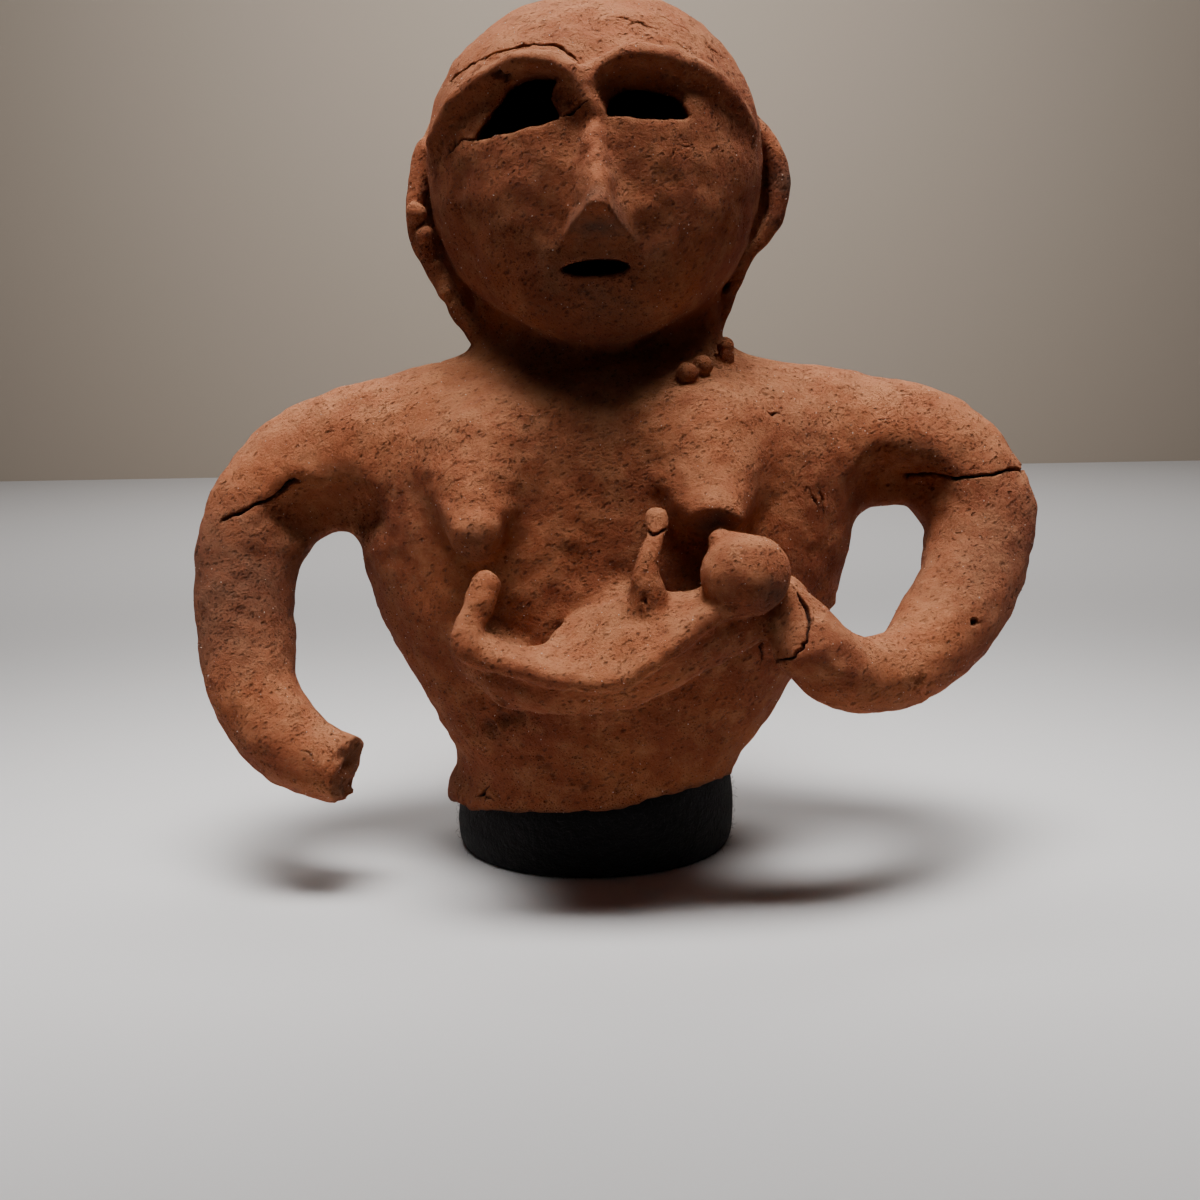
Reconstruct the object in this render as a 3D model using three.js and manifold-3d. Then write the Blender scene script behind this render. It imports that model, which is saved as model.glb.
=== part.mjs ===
// A haniwa: the hollow terracotta bust of a woman nursing an infant, broken off at the waist and standing on an
// oval padded support.
// Millimetres. +Z is up, the woman faces -Y, and the origin is the centre of the support's underside.
import * as THREE from "three";
import { mergeVertices } from "three/addons/utils/BufferGeometryUtils.js";
import Module from "manifold-3d";

const wasm = await Module();
wasm.setup();

// ---- Driving dimensions ----------------------------------------------------------------------------------------

const WALL = 11; // thickness of the coil-built clay wall
const PAD_HALF_WIDTH = 69;
const PAD_HALF_DEPTH = 54;
const PAD_GAP = 0.3; // between the clay's broken edge and the padding under it

// The broken lower edge: its height at a few places across the front, with small chips along it.
const EDGE = [
  { x: -130, z: 26 },
  { x: -78, z: 26 },
  { x: -50, z: 31 },
  { x: -24, z: 34 },
  { x: 2, z: 35 },
  { x: 24, z: 38.5 },
  { x: 46, z: 43 },
  { x: 78, z: 39.5 },
  { x: 130, z: 39 },
];
const EDGE_CHIP = { height: 0.8, length: 19 };

// Horizontal sections through the trunk: the axis's place in x, then how far the outside lies left, right, in
// front of and behind that axis.
const TRUNK = [
  { z: 20, x: 0, left: 71, right: 68, front: 57, back: 55 },
  { z: 32, x: 0, left: 71, right: 68, front: 57, back: 55 },
  { z: 46, x: 0, left: 66, right: 71, front: 59, back: 56 },
  { z: 70, x: 2, left: 79, right: 84, front: 65, back: 60 },
  { z: 105, x: 4, left: 99, right: 103, front: 71, back: 64 },
  { z: 140, x: 5, left: 111, right: 116, front: 71, back: 66 },
  { z: 170, x: 5, left: 116, right: 121, front: 68, back: 66 },
  { z: 195, x: 5, left: 114, right: 118, front: 65, back: 63 },
  { z: 215, x: 5, left: 103, right: 106, front: 58, back: 57 },
  { z: 228, x: 5, left: 86, right: 89, front: 48, back: 52 },
  { z: 237, x: 5, left: 67, right: 69, front: 38, back: 48 },
  { z: 247, x: 5, left: 58, right: 59, front: 31, back: 47 },
  { z: 262, x: 5, left: 57, right: 58, front: 30, back: 50 },
  { z: 285, x: 5, left: 50, right: 50, front: 30, back: 48 },
];
const TRUNK_SQUARENESS = 2.35; // 2 is an ellipse
const TRUNK_CAVITY_TOP = 268;

const HEAD = { centre: [5.5, -2, 320], radii: [75, 74, 75.5] };
const HEAD_SQUARENESS = 2.15;
const JAW = { centre: [5.5, -26, 299], radii: [57, 46.5, 54] };

// The woman's right arm, broken off at the wrist, and her left arm, whose hand holds the infant's neck.
const RIGHT_ARM = [
  { at: [-72, 0, 198], r: 35 },
  { at: [-112, -2, 195], r: 32.5 },
  { at: [-142, -7, 181], r: 28.5 },
  { at: [-160, -17, 152], r: 24 },
  { at: [-161, -29, 118], r: 22.5 },
  { at: [-153, -43, 87], r: 20.5 },
  { at: [-133, -54, 65], r: 18.5 },
  { at: [-110, -60, 57], r: 16 },
];
const LEFT_ARM = [
  { at: [80, 0, 199], r: 35 },
  { at: [126, -2, 198], r: 31 },
  { at: [164, -8, 190], r: 27 },
  { at: [181, -18, 166], r: 25 },
  { at: [175, -34, 139], r: 23 },
  { at: [156, -54, 116], r: 20 },
  { at: [131, -72, 103], r: 17 },
  { at: [106, -84, 106], r: 16.5 },
  { at: [88, -92, 117], r: 15 },
];

// The infant lies across the waist, head at the woman's left breast.
const INFANT_BODY = [
  { at: [-28, -98, 114.5], r: 7 },
  { at: [-12, -98, 114], r: 9 },
  { at: [4, -97, 117.5], r: 11.5 },
  { at: [24, -96, 125.5], r: 11.5 },
  { at: [44, -95, 133.5], r: 9.5 },
  { at: [60, -95, 140], r: 9 },
];
const INFANT_LEG = [
  { at: [-20, -98, 114], r: 7.5 },
  { at: [-43, -97, 118], r: 6.6 },
  { at: [-51, -96, 126], r: 7.2 },
  { at: [-49, -92, 137], r: 6.3 },
  { at: [-42.5, -86, 147.5], r: 5.5 },
];
const INFANT_ARM = [
  { at: [25, -90, 134], r: 9 },
  { at: [23, -91.5, 149], r: 5.6 },
  { at: [26, -88, 161], r: 4.6 },
  { at: [28.4, -81, 172], r: 5 },
];
const INFANT_HEAD = { centre: [63.5, -96, 150], radii: [18.3, 17.5, 17] };

// The lap: a roll of clay under the infant, smoothed into the belly.
const LAP = [
  { at: [-44, -64, 102], r: 15 },
  { at: [-16, -79, 103], r: 17 },
  { at: [24, -80, 112], r: 20 },
  { at: [60, -76, 124], r: 19 },
  { at: [82, -69, 130], r: 14 },
];

const BREASTS = [
  { centre: [-47, -68, 172], radii: [14, 18.5, 12] },
  { centre: [50.5, -68, 176], radii: [17, 19, 13] },
];

const NOSE = { bridge: [4, -74, 338], tip: [5.5, -98, 300], halfWidth: 19, bridgeHalfWidth: 7, height: 290, root: -66 };
const BROWS = [
  [[5, -73, 338], [-9, -71, 351], [-24, -67, 354], [-40, -59, 351], [-57, -46, 341]],
  [[5, -73, 338], [15, -72, 353], [28, -69, 356], [46, -59, 354], [66, -43, 345]],
];
const BROW_RADIUS = 4.8;

// The eyes and the mouth are cut right through the wall: a nearly straight lower edge under an arch. The arch of
// her right eye has broken away upwards.
const EYES = [
  { inner: [-9, 330], outer: [-41, 326], arch: 23 },
  { inner: [10, 331.5], outer: [44, 332], arch: 15 },
];
const MOUTH = { left: [-8, 273], right: [19, 273], rise: 5, drop: 2 };
const CUT_FROM = -120;
const CUT_TO = -30;

// Ears are flat lobes standing off the sides of the head, and a strip of clay runs down from one to the neck.
const EARS = [
  { centre: [-70, 4, 311], radii: [12, 9, 32], lean: 0.12 },
  { centre: [81, 4, 318], radii: [12, 9, 26], lean: -0.1 },
];
const HAIR_STRIP = [
  { at: [-72, -4, 292], r: 7 },
  { at: [-66, -8, 278], r: 6.5 },
  { at: [-60, -10, 264], r: 6 },
  { at: [-56, -10, 250], r: 5.5 },
];
const BEAD_RADIUS = 4.6;
const BEADS = [
  [-76, -8, 305],
  [-73, -10, 296],
  [44, -41.5, 232],
  [51, -35, 236],
  [62, -17, 242],
];

// How many flats go round each rounded form.
const SIDES = { trunk: 36, head: 32, jaw: 24, arm: 14, infant: 12, small: 10, bead: 8, cavity: 24, pad: 44 };

// ---- Building blocks -------------------------------------------------------------------------------------------

// A smooth curve through the values that a list of stations gives for one key, against their place along another.
function profile(stations, key, along = "z") {
  const curve = new THREE.CubicInterpolant(
    stations.map((s) => s[along]),
    stations.map((s) => s[key]),
    1,
  );
  return (place) => curve.evaluate(place)[0];
}

// One signed coordinate of a superellipse of unit size: cosine or sine, squared up.
const squared = (unit, squareness) => Math.sign(unit) * Math.abs(unit) ** (2 / squareness);

// A closed surface through rings of points; each end is closed by a fan to the middle of its ring.
function loft(rings) {
  const sides = rings[0].length;
  const points = rings.flat();
  const index = [];
  for (let i = 0; i + 1 < rings.length; i++) {
    for (let j = 0; j < sides; j++) {
      const a = i * sides + j;
      const b = i * sides + ((j + 1) % sides);
      index.push(a, b, b + sides, a, b + sides, a + sides);
    }
  }
  for (const [first, turn] of [[0, false], [(rings.length - 1) * sides, true]]) {
    const middle = new THREE.Vector3();
    for (let j = 0; j < sides; j++) middle.addScaledVector(points[first + j], 1 / sides);
    const centre = points.push(middle) - 1;
    for (let j = 0; j < sides; j++) {
      const a = first + j;
      const b = first + ((j + 1) % sides);
      index.push(...(turn ? [centre, a, b] : [centre, b, a]));
    }
  }
  return new THREE.BufferGeometry().setFromPoints(points).setIndex(index);
}

// The trunk's surface, or the same surface taken inwards by inset, between two heights.
function trunk(from, to, inset, sides, steps) {
  const [x, left, right, front, back] = ["x", "left", "right", "front", "back"].map((k) => profile(TRUNK, k));
  const rings = [];
  for (let i = 0; i <= steps; i++) {
    const z = THREE.MathUtils.lerp(from, to, i / steps);
    const ring = [];
    for (let j = 0; j < sides; j++) {
      const angle = (2 * Math.PI * j) / sides;
      const c = squared(Math.cos(angle), TRUNK_SQUARENESS);
      const s = squared(Math.sin(angle), TRUNK_SQUARENESS);
      const wide = (c < 0 ? left(z) : right(z)) - inset;
      const deep = (s < 0 ? front(z) : back(z)) - inset;
      ring.push(new THREE.Vector3(x(z) + wide * c, deep * s, z));
    }
    rings.push(ring);
  }
  return loft(rings);
}

// A rolled limb of clay through a list of places and radii. It ends round, or flat where it is broken off.
function limb(places, sides, steps, { flatEnd = false } = {}) {
  const path = new THREE.CatmullRomCurve3(
    places.map((p) => new THREE.Vector3(...p.at)),
    false,
    "centripetal",
  );
  const radii = new THREE.CubicInterpolant(
    places.map((_, i) => i / (places.length - 1)),
    places.map((p) => p.r),
    1,
  );
  const frames = path.computeFrenetFrames(steps, false);
  const length = path.getLength();
  const rings = [];
  for (let i = 0; i <= steps; i++) {
    const along = path.getUtoTmapping(i / steps);
    const radius = radii.evaluate(along)[0];
    const room = (length * (flatEnd ? i : Math.min(i, steps - i))) / steps;
    const round = Math.min(1, (room + radius * 0.12) / (radius * 0.8));
    const size = radius * Math.sqrt(1 - (1 - round) ** 2);
    const centre = path.getPointAt(i / steps);
    const ring = [];
    for (let j = 0; j < sides; j++) {
      const angle = (2 * Math.PI * j) / sides;
      ring.push(
        centre
          .clone()
          .addScaledVector(frames.normals[i], size * Math.cos(angle))
          .addScaledVector(frames.binormals[i], size * Math.sin(angle)),
      );
    }
    rings.push(ring);
  }
  return loft(rings);
}

// A ball of clay, pulled out to three radii and squared up a little.
function ball({ centre, radii }, sides, squareness = 2, inset = 0) {
  const geometry = new THREE.SphereGeometry(1, sides, Math.round(sides * 0.6));
  geometry.rotateX(Math.PI / 2);
  const p = geometry.attributes.position;
  for (let i = 0; i < p.count; i++) {
    const v = new THREE.Vector3().fromBufferAttribute(p, i);
    const sum = Math.abs(v.x) ** squareness + Math.abs(v.y) ** squareness + Math.abs(v.z) ** squareness;
    v.multiplyScalar(sum ** (-1 / squareness));
    p.setXYZ(
      i,
      centre[0] + v.x * (radii[0] - inset),
      centre[1] + v.y * (radii[1] - inset),
      centre[2] + v.z * (radii[2] - inset),
    );
  }
  return geometry;
}

// A shape drawn in the front plane, x across and y up, made solid from one depth to another.
function through(shape, from = CUT_FROM, to = CUT_TO) {
  const geometry = new THREE.ExtrudeGeometry(shape, { depth: to - from, bevelEnabled: false, curveSegments: 6 });
  return geometry.rotateX(Math.PI / 2).translate(0, to, 0);
}

// ---- Solids ----------------------------------------------------------------------------------------------------

function solid(geometry) {
  const bare = new THREE.BufferGeometry().setAttribute("position", geometry.attributes.position.clone());
  bare.setIndex(geometry.index);
  const merged = mergeVertices(bare, 1e-4);
  return new wasm.Manifold(
    new wasm.Mesh({
      numProp: 3,
      vertProperties: merged.attributes.position.array,
      triVerts: new Uint32Array(merged.index.array),
    }),
  );
}

function meshOf(name, manifold, material) {
  const made = manifold.getMesh();
  const geometry = new THREE.BufferGeometry()
    .setAttribute("position", new THREE.BufferAttribute(made.vertProperties, 3))
    .setIndex(new THREE.BufferAttribute(made.triVerts, 1));
  geometry.computeVertexNormals();
  const mesh = new THREE.Mesh(geometry, material);
  mesh.name = name;
  return mesh;
}

const joined = (solids) => solids.reduce((whole, s) => whole.add(s));

const edgeLine = profile(EDGE, "z", "x");
const edgeHeight = (x) => edgeLine(x) + EDGE_CHIP.height * Math.sin((2 * Math.PI * x) / EDGE_CHIP.length);

// Everything below the broken edge, lowered by drop.
function belowEdge(drop) {
  const reach = 130;
  const steps = 52;
  const shape = new THREE.Shape().moveTo(-reach, -60).lineTo(reach, -60);
  for (let i = steps; i >= 0; i--) {
    const x = THREE.MathUtils.lerp(-reach, reach, i / steps);
    shape.lineTo(x, edgeHeight(x) - drop);
  }
  return solid(through(shape, -100, 100));
}

function eye({ inner, outer, arch }) {
  const [a, b] = inner[0] < outer[0] ? [inner, outer] : [outer, inner];
  const shape = new THREE.Shape().moveTo(...a).lineTo(...b);
  const top = Math.max(a[1], b[1]) + arch;
  shape.bezierCurveTo(b[0] - 4, top, a[0] + 4, top, a[0], a[1]);
  return solid(through(shape));
}

function mouth() {
  const { left, right, rise, drop } = MOUTH;
  const middle = (left[0] + right[0]) / 2;
  const shape = new THREE.Shape().moveTo(...left);
  shape.quadraticCurveTo(middle, left[1] - 2 * drop, ...right);
  shape.quadraticCurveTo(middle, left[1] + 2 * rise, ...left);
  return solid(through(shape));
}

// The nose: a wedge with a sharp ridge and a flat underside.
function nose() {
  const { bridge, tip, halfWidth, bridgeHalfWidth, height, root } = NOSE;
  const section = (z, depth, half) => [
    new THREE.Vector3(bridge[0] - half, root + 14, z),
    new THREE.Vector3(bridge[0] - half * 0.8, root, z),
    new THREE.Vector3(bridge[0], depth, z),
    new THREE.Vector3(bridge[0] + half * 0.8, root, z),
    new THREE.Vector3(bridge[0] + half, root + 14, z),
  ];
  return solid(
    loft([
      section(height, tip[1] + 4, halfWidth),
      section(tip[2], tip[1], halfWidth * 0.9),
      section((tip[2] + bridge[2]) / 2, (tip[1] + bridge[1]) / 2 - 1, bridgeHalfWidth * 1.3),
      section(bridge[2] + 4, bridge[1] + 3, bridgeHalfWidth),
    ]),
  );
}

function brow(points) {
  const places = points.map((at) => ({ at, r: BROW_RADIUS }));
  return solid(limb(places, SIDES.bead, 10));
}

function ear({ centre, radii, lean }) {
  const geometry = ball({ centre: [0, 0, 0], radii }, SIDES.infant);
  return solid(geometry.rotateY(lean).translate(...centre));
}

// The cavity runs from the open waist up through the neck into the head.
function cavity() {
  const body = solid(trunk(0, TRUNK_CAVITY_TOP, WALL, SIDES.cavity, 14));
  return body.add(solid(ball(HEAD, SIDES.cavity, HEAD_SQUARENESS, WALL)));
}

function figure() {
  const bust = joined([
    solid(trunk(TRUNK[0].z, TRUNK.at(-1).z, 0, SIDES.trunk, 20)),
    solid(ball(HEAD, SIDES.head, HEAD_SQUARENESS)),
    solid(ball(JAW, SIDES.jaw)),
    solid(limb(RIGHT_ARM, SIDES.arm, 18, { flatEnd: true })),
    solid(limb(LEFT_ARM, SIDES.arm, 20)),
    solid(limb(LAP, SIDES.arm, 10)),
    ...BREASTS.map((b) => solid(ball(b, SIDES.infant))),
    ...EARS.map(ear),
    ...BROWS.map(brow),
    nose(),
  ]);
  const hollow = bust.subtract(joined([cavity(), ...EYES.map(eye), mouth(), belowEdge(0)]));
  return joined([
    hollow,
    solid(limb(INFANT_BODY, SIDES.infant, 10)),
    solid(limb(INFANT_LEG, SIDES.small, 14)),
    solid(limb(INFANT_ARM, SIDES.small, 9)),
    solid(ball(INFANT_HEAD, SIDES.arm)),
    solid(limb(HAIR_STRIP, SIDES.bead, 8)),
    ...BEADS.map((centre) => solid(ball({ centre, radii: Array(3).fill(BEAD_RADIUS) }, SIDES.bead))),
  ]);
}

// The padded support: an oval puck with rounded edges, pressed to the shape of the broken edge above it.
function paddedSupport() {
  const corner = 7;
  const top = 50;
  const heights = [0, corner * 0.3, corner, 26, top];
  const rings = heights.map((z) => {
    const inset = corner * (1 - Math.sqrt(1 - Math.max(0, 1 - z / corner) ** 2)) * 0.6;
    return Array.from({ length: SIDES.pad }, (_, j) => {
      const angle = (2 * Math.PI * j) / SIDES.pad;
      return new THREE.Vector3(
        (PAD_HALF_WIDTH - inset) * Math.cos(angle),
        (PAD_HALF_DEPTH - inset) * Math.sin(angle),
        z,
      );
    });
  });
  return solid(loft(rings)).intersect(belowEdge(PAD_GAP));
}

// ---- The object ------------------------------------------------------------------------------------------------

const terracotta = new THREE.MeshStandardMaterial({ color: 0xb0683f, roughness: 0.92, metalness: 0 });
const blackCloth = new THREE.MeshStandardMaterial({ color: 0x0c0a0b, roughness: 1, metalness: 0 });

const haniwa = new THREE.Group();
haniwa.add(meshOf("nursing_figure", figure(), terracotta));
haniwa.add(meshOf("padded_support", paddedSupport(), blackCloth));

export default haniwa;
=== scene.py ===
"""A haniwa in the studio: a hollow fired-clay bust of a woman nursing an infant, on its black padded support.

The clay is worked as a block of distances on a fine grid: rolls, balls and wedges of clay are smoothed into
one another, the hollow and the openings are cut out of them, and the surface is then meshed, cracked and
pitted. The support is a pad of soft filling under felted cloth, with loose fibres on it.
"""
import itertools
import math

import bmesh
import bpy
import numpy as np
import openvdb
from bpy.props import FloatProperty, FloatVectorProperty, IntProperty, PointerProperty
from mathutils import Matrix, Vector, noise
from mathutils.bvhtree import BVHTree


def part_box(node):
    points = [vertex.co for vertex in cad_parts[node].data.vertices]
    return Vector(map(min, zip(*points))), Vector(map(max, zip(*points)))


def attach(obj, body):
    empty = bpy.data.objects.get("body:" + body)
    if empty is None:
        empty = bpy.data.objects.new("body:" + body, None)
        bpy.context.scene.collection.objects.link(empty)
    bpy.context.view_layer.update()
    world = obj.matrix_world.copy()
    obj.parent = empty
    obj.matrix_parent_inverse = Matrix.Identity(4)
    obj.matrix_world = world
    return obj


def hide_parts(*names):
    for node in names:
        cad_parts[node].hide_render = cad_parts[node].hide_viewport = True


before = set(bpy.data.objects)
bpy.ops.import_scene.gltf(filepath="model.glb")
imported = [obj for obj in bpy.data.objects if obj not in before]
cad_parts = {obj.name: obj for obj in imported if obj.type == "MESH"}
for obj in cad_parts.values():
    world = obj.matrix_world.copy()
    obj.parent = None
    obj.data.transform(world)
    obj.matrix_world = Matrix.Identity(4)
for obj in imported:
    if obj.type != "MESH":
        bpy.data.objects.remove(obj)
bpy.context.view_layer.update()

bl_info = {
    "name": "Haniwa Nursing Figure",
    "version": (1, 0, 0),
    "blender": (4, 5, 0),
    "location": "View3D > Sidebar > Haniwa",
    "description": "Builds a hollow clay haniwa of a nursing woman on a felted pad, with a plain stage",
    "category": "Object",
}

MM = 0.001  # the sculpting sizes below are in millimetres, and Blender's are in metres

# ---- The clay's sizes, in millimetres ----

# Horizontal sections through the trunk: height, the axis's x, then the reach left, right, front and back.
TRUNK = [
    (8, 0, 72, 69, 57, 55), (32, 0, 72, 69, 57, 55), (46, 0, 66.5, 71, 59, 56), (70, 2, 79, 84, 65, 60),
    (105, 4, 99, 103, 71, 64), (140, 5, 111, 116, 71, 66), (170, 5, 116, 121, 68, 66),
    (195, 5, 114, 118, 65, 63), (215, 5, 103, 106, 58, 57), (228, 5, 86, 89, 48, 52),
    (237, 5, 67, 69, 38, 48), (247, 5, 58, 59, 31, 47), (262, 5, 57, 58, 30, 50),
    (285, 5, 50, 50, 30, 48),
]
TRUNK_SQUARENESS = 2.35
TRUNK_HOLLOW_TOP = 268

HEAD = {"centre": (5.5, -2, 320), "radii": (75, 74, 75.5), "squareness": 2.15}
JAW = {"centre": (5.5, -30, 297.5), "radii": (53, 46.5, 53), "squareness": 2.5}

# Rolls of clay, as places with the roll's radius there: (x, y, z, radius).
RIGHT_ARM = [
    (-72, 0, 198, 35), (-112, -2, 195, 32.5), (-142, -7, 181, 28.5), (-160, -17, 152, 24),
    (-161, -29, 118, 22.5), (-153, -43, 87, 20.5), (-133, -54, 65, 18.5), (-110, -60, 57, 16),
]
LEFT_ARM = [
    (80, 0, 199, 35), (126, -2, 198, 31), (164, -8, 190, 27), (181, -18, 166, 25), (175, -34, 139, 23),
    (156, -54, 116, 20), (131, -72, 103, 17), (106, -84, 106, 16.5), (90, -91, 118, 15),
]
LEFT_THUMB = [(91, -89, 124, 12), (87, -86, 133, 8.5), (83, -84, 140, 5.5)]
LAP = [
    (-50, -64, 112, 11), (-30, -84, 105, 13), (-12, -88.5, 103, 14), (6, -89.5, 107, 16),
    (26, -88, 116, 17), (46, -86, 126, 16), (66, -80, 132, 14), (82, -70, 134, 12),
]
RIGHT_BREAST = [(-44, -42, 194, 29), (-46, -52, 185, 24), (-47.5, -64, 176.5, 17.5), (-48, -76, 168, 12)]
LEFT_BREAST = [(48, -40, 196, 32), (49.5, -50, 188, 27), (51, -64, 179.5, 19.5), (52, -79, 172.5, 12.5)]

# The infant's body is a slab of clay between two rolls: its lower front edge and its upper back edge.
INFANT_FRONT = [
    (-49, -98, 122, 4), (-40, -102, 118, 4.3), (-26, -105, 114, 4.3), (-12, -107, 110.5, 4.3),
    (4, -108, 109.2, 4.3), (13, -108, 110.5, 4.3), (23, -107.5, 116, 4.3), (33, -106.5, 123, 4.3),
    (43, -105, 131, 4.3), (54, -104, 137, 4.3), (68, -103, 142, 4),
]
INFANT_BACK = [
    (-46, -92, 123, 5.5), (-39, -92, 119, 5.5), (-28, -91, 115, 5.5), (-16, -89, 116, 5.8),
    (-6, -87, 119.5, 6.2), (3, -85, 126, 6.6), (13, -84, 133, 6.6), (30, -84, 134, 6.6),
    (46, -85, 135.5, 6.6), (58, -87, 141, 6.6), (70, -88, 146, 6),
]
INFANT_SHOULDER_FRONT = [(-18, -87, 117, 3), (-8, -85, 121, 4), (2, -83, 127, 4), (12, -81, 133, 4)]
INFANT_SHOULDER_BACK = [(-17, -82, 119, 2.5), (-9, -75, 126, 3), (0, -71.5, 132.5, 3), (6, -69.5, 138, 3.2),
                        (15, -69, 140.5, 3)]
INFANT_LEG = [
    (-31, -96, 115, 6), (-43, -97, 118.5, 6.4), (-50.5, -97, 123.5, 7.2), (-50.3, -95, 129, 6.2),
    (-48.2, -92.5, 135, 5.7), (-45, -90, 141.5, 6.3), (-43.3, -88, 146.3, 6),
]
INFANT_ARM = [
    (25, -88, 133, 9.5), (24.2, -90, 141, 7.9), (22.6, -91.5, 150, 5.4), (24.6, -90, 158, 4.5),
    (27.6, -86, 165, 3.7), (28.4, -81, 171.5, 5),
]
INFANT_HEAD = {"centre": (63.5, -96, 150), "radii": (18.3, 17.5, 17), "squareness": 2.15}
INFANT_FACE = [(58, -94, 157, 9), (54, -91, 163.5, 5)]

BROWS = [
    [(4, -73, 334, 4.2), (-1, -74.5, 345, 4.4), (-9, -73.5, 351, 4.6), (-23, -69.5, 353, 4.8),
     (-39, -61.5, 349.5, 4.6), (-54, -50, 341, 3.8), (-63, -37, 330, 2.6)],
    [(4, -73, 334, 4.2), (6, -73.5, 348, 4.4), (16, -73.5, 353.5, 4.8), (29, -70.5, 354.5, 5),
     (45, -62.5, 352, 4.8), (61, -50, 344, 3.9), (72, -35, 333, 2.6)],
]
NOSE = {"bridge": (4.5, -73, 350), "tip": (5.5, -107, 299), "wings": ((-15, -66, 278), (25.5, -66, 279))}
NOSE_WINDOW = ((-34, -114, 280), (46, -56, 356))

# Hollows pressed into the outside: the centre, the radii and the rounding of the rim. They are the eye
# sockets, the fronts of the armpits, and two places under the lap.
HOLLOWS = [
    ((-26, -80, 341), (19.5, 19, 10.5), 6),
    ((27, -82, 342), (21, 20, 10.5), 6),
    ((-121, -40, 168), (26, 21, 15), 9),
    ((140, -40, 178), (21, 21, 15), 9),
    ((-34, -93, 80), (17, 10, 9), 8),
    ((4, -86, 86), (26, 12, 8), 8),
]

# Outlines cut through the wall from the front, as (x, z).
RIGHT_EYE = [
    (-43.5, 326.6), (-32.7, 327.2), (-20.4, 328.8), (-12.3, 330.5), (-8.6, 332.9), (-10.3, 337),
    (-12.1, 340.4), (-10.3, 344.6), (-8.2, 348), (-12, 349.7), (-21.7, 349.2), (-27, 347.6), (-33, 341),
    (-38.5, 334.5),
]
LEFT_EYE = [
    (9.8, 332.2), (16.6, 331.5), (25.9, 330.9), (35.1, 331.2), (43.3, 332.5), (41.3, 337),
    (37.4, 341.2), (31, 343.4), (22.3, 344.2), (16.4, 342.7), (12.3, 339.8), (10.4, 336.1),
]
MOUTH = [
    (-9.8, 273.7), (-6.5, 275.6), (-1, 277.2), (6, 277.8), (13, 277.2), (18.5, 274.8), (14.6, 272.6),
    (8, 271.5), (0, 271.6), (-6.7, 272.5),
]
FACE_CUT = (-112, -30)  # the y range in which they cut
CUT_MARGIN = 6

LEFT_EAR = [
    (-67, 6, 343, 3), (-72.5, 3, 332, 4.2), (-76, 0, 317, 4.4), (-77.5, -1, 301, 4.2),
    (-75, -2, 290, 4.2), (-68.5, -3, 279, 4.4), (-62, -4, 267, 4.4), (-57.5, -6, 258, 4.2),
    (-51, -9, 250, 4.4),
]
RIGHT_EAR = [
    (74, 6, 344, 4.6), (83, 3, 335, 4.6), (88.5, 2, 324, 4.8), (90, 2, 313, 4.8), (88.5, 2, 303, 4.8),
    (83.5, 3, 294, 4.4), (77, 4, 285, 4), (70, 4, 272, 3.6), (64.5, 3, 259, 3.4), (58.5, 3, 247, 3.4),
]
# The thin clay between each rim and the head: outlines in the front plane, and the y of its two faces.
LEFT_EAR_WEB = [(-70, 345), (-76, 331), (-79, 315), (-79, 300), (-75, 288), (-67, 277), (-60, 262),
                (-52, 250), (-40, 262), (-50, 300), (-55, 340)]
RIGHT_EAR_WEB = [(74, 346), (85, 335), (91, 322), (91, 304), (84, 293), (75, 280), (68, 264), (60, 247),
                 (50, 255), (60, 300), (62, 340)]
EAR_WEB_FACES = (7, 13)
EAR_PELLETS = [(-76, -7.5, 304.5, 4.8), (-73, -7.5, 294.5, 4.4), (-71.5, -6.5, 289, 4), (-69, -5.5, 281, 3.2),
               (-64, -6.5, 268.5, 3.8), (-61, -7, 262.5, 3.2)]
NECK_BEADS = [(43.6, -51.5, 231, 4.9), (50.5, -45.5, 234, 4.5), (62.5, -25.5, 243, 4.2),
              (62.5, -26, 237.5, 3.8)]

# The broken lower edge: its height along x, with roughness added.
EDGE = [(-130, 26), (-78, 26), (-50, 31), (-24, 34), (2, 35), (24, 38.5), (46, 43), (78, 39.5), (130, 39)]
WRIST_BREAK = {"centre": (-110, -60, 57), "facing": (0.93, -0.3, -0.22)}
BREAST_BREAK = {"centre": (52, -84, 170.5), "facing": (0.1, -0.55, -0.83)}

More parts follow.
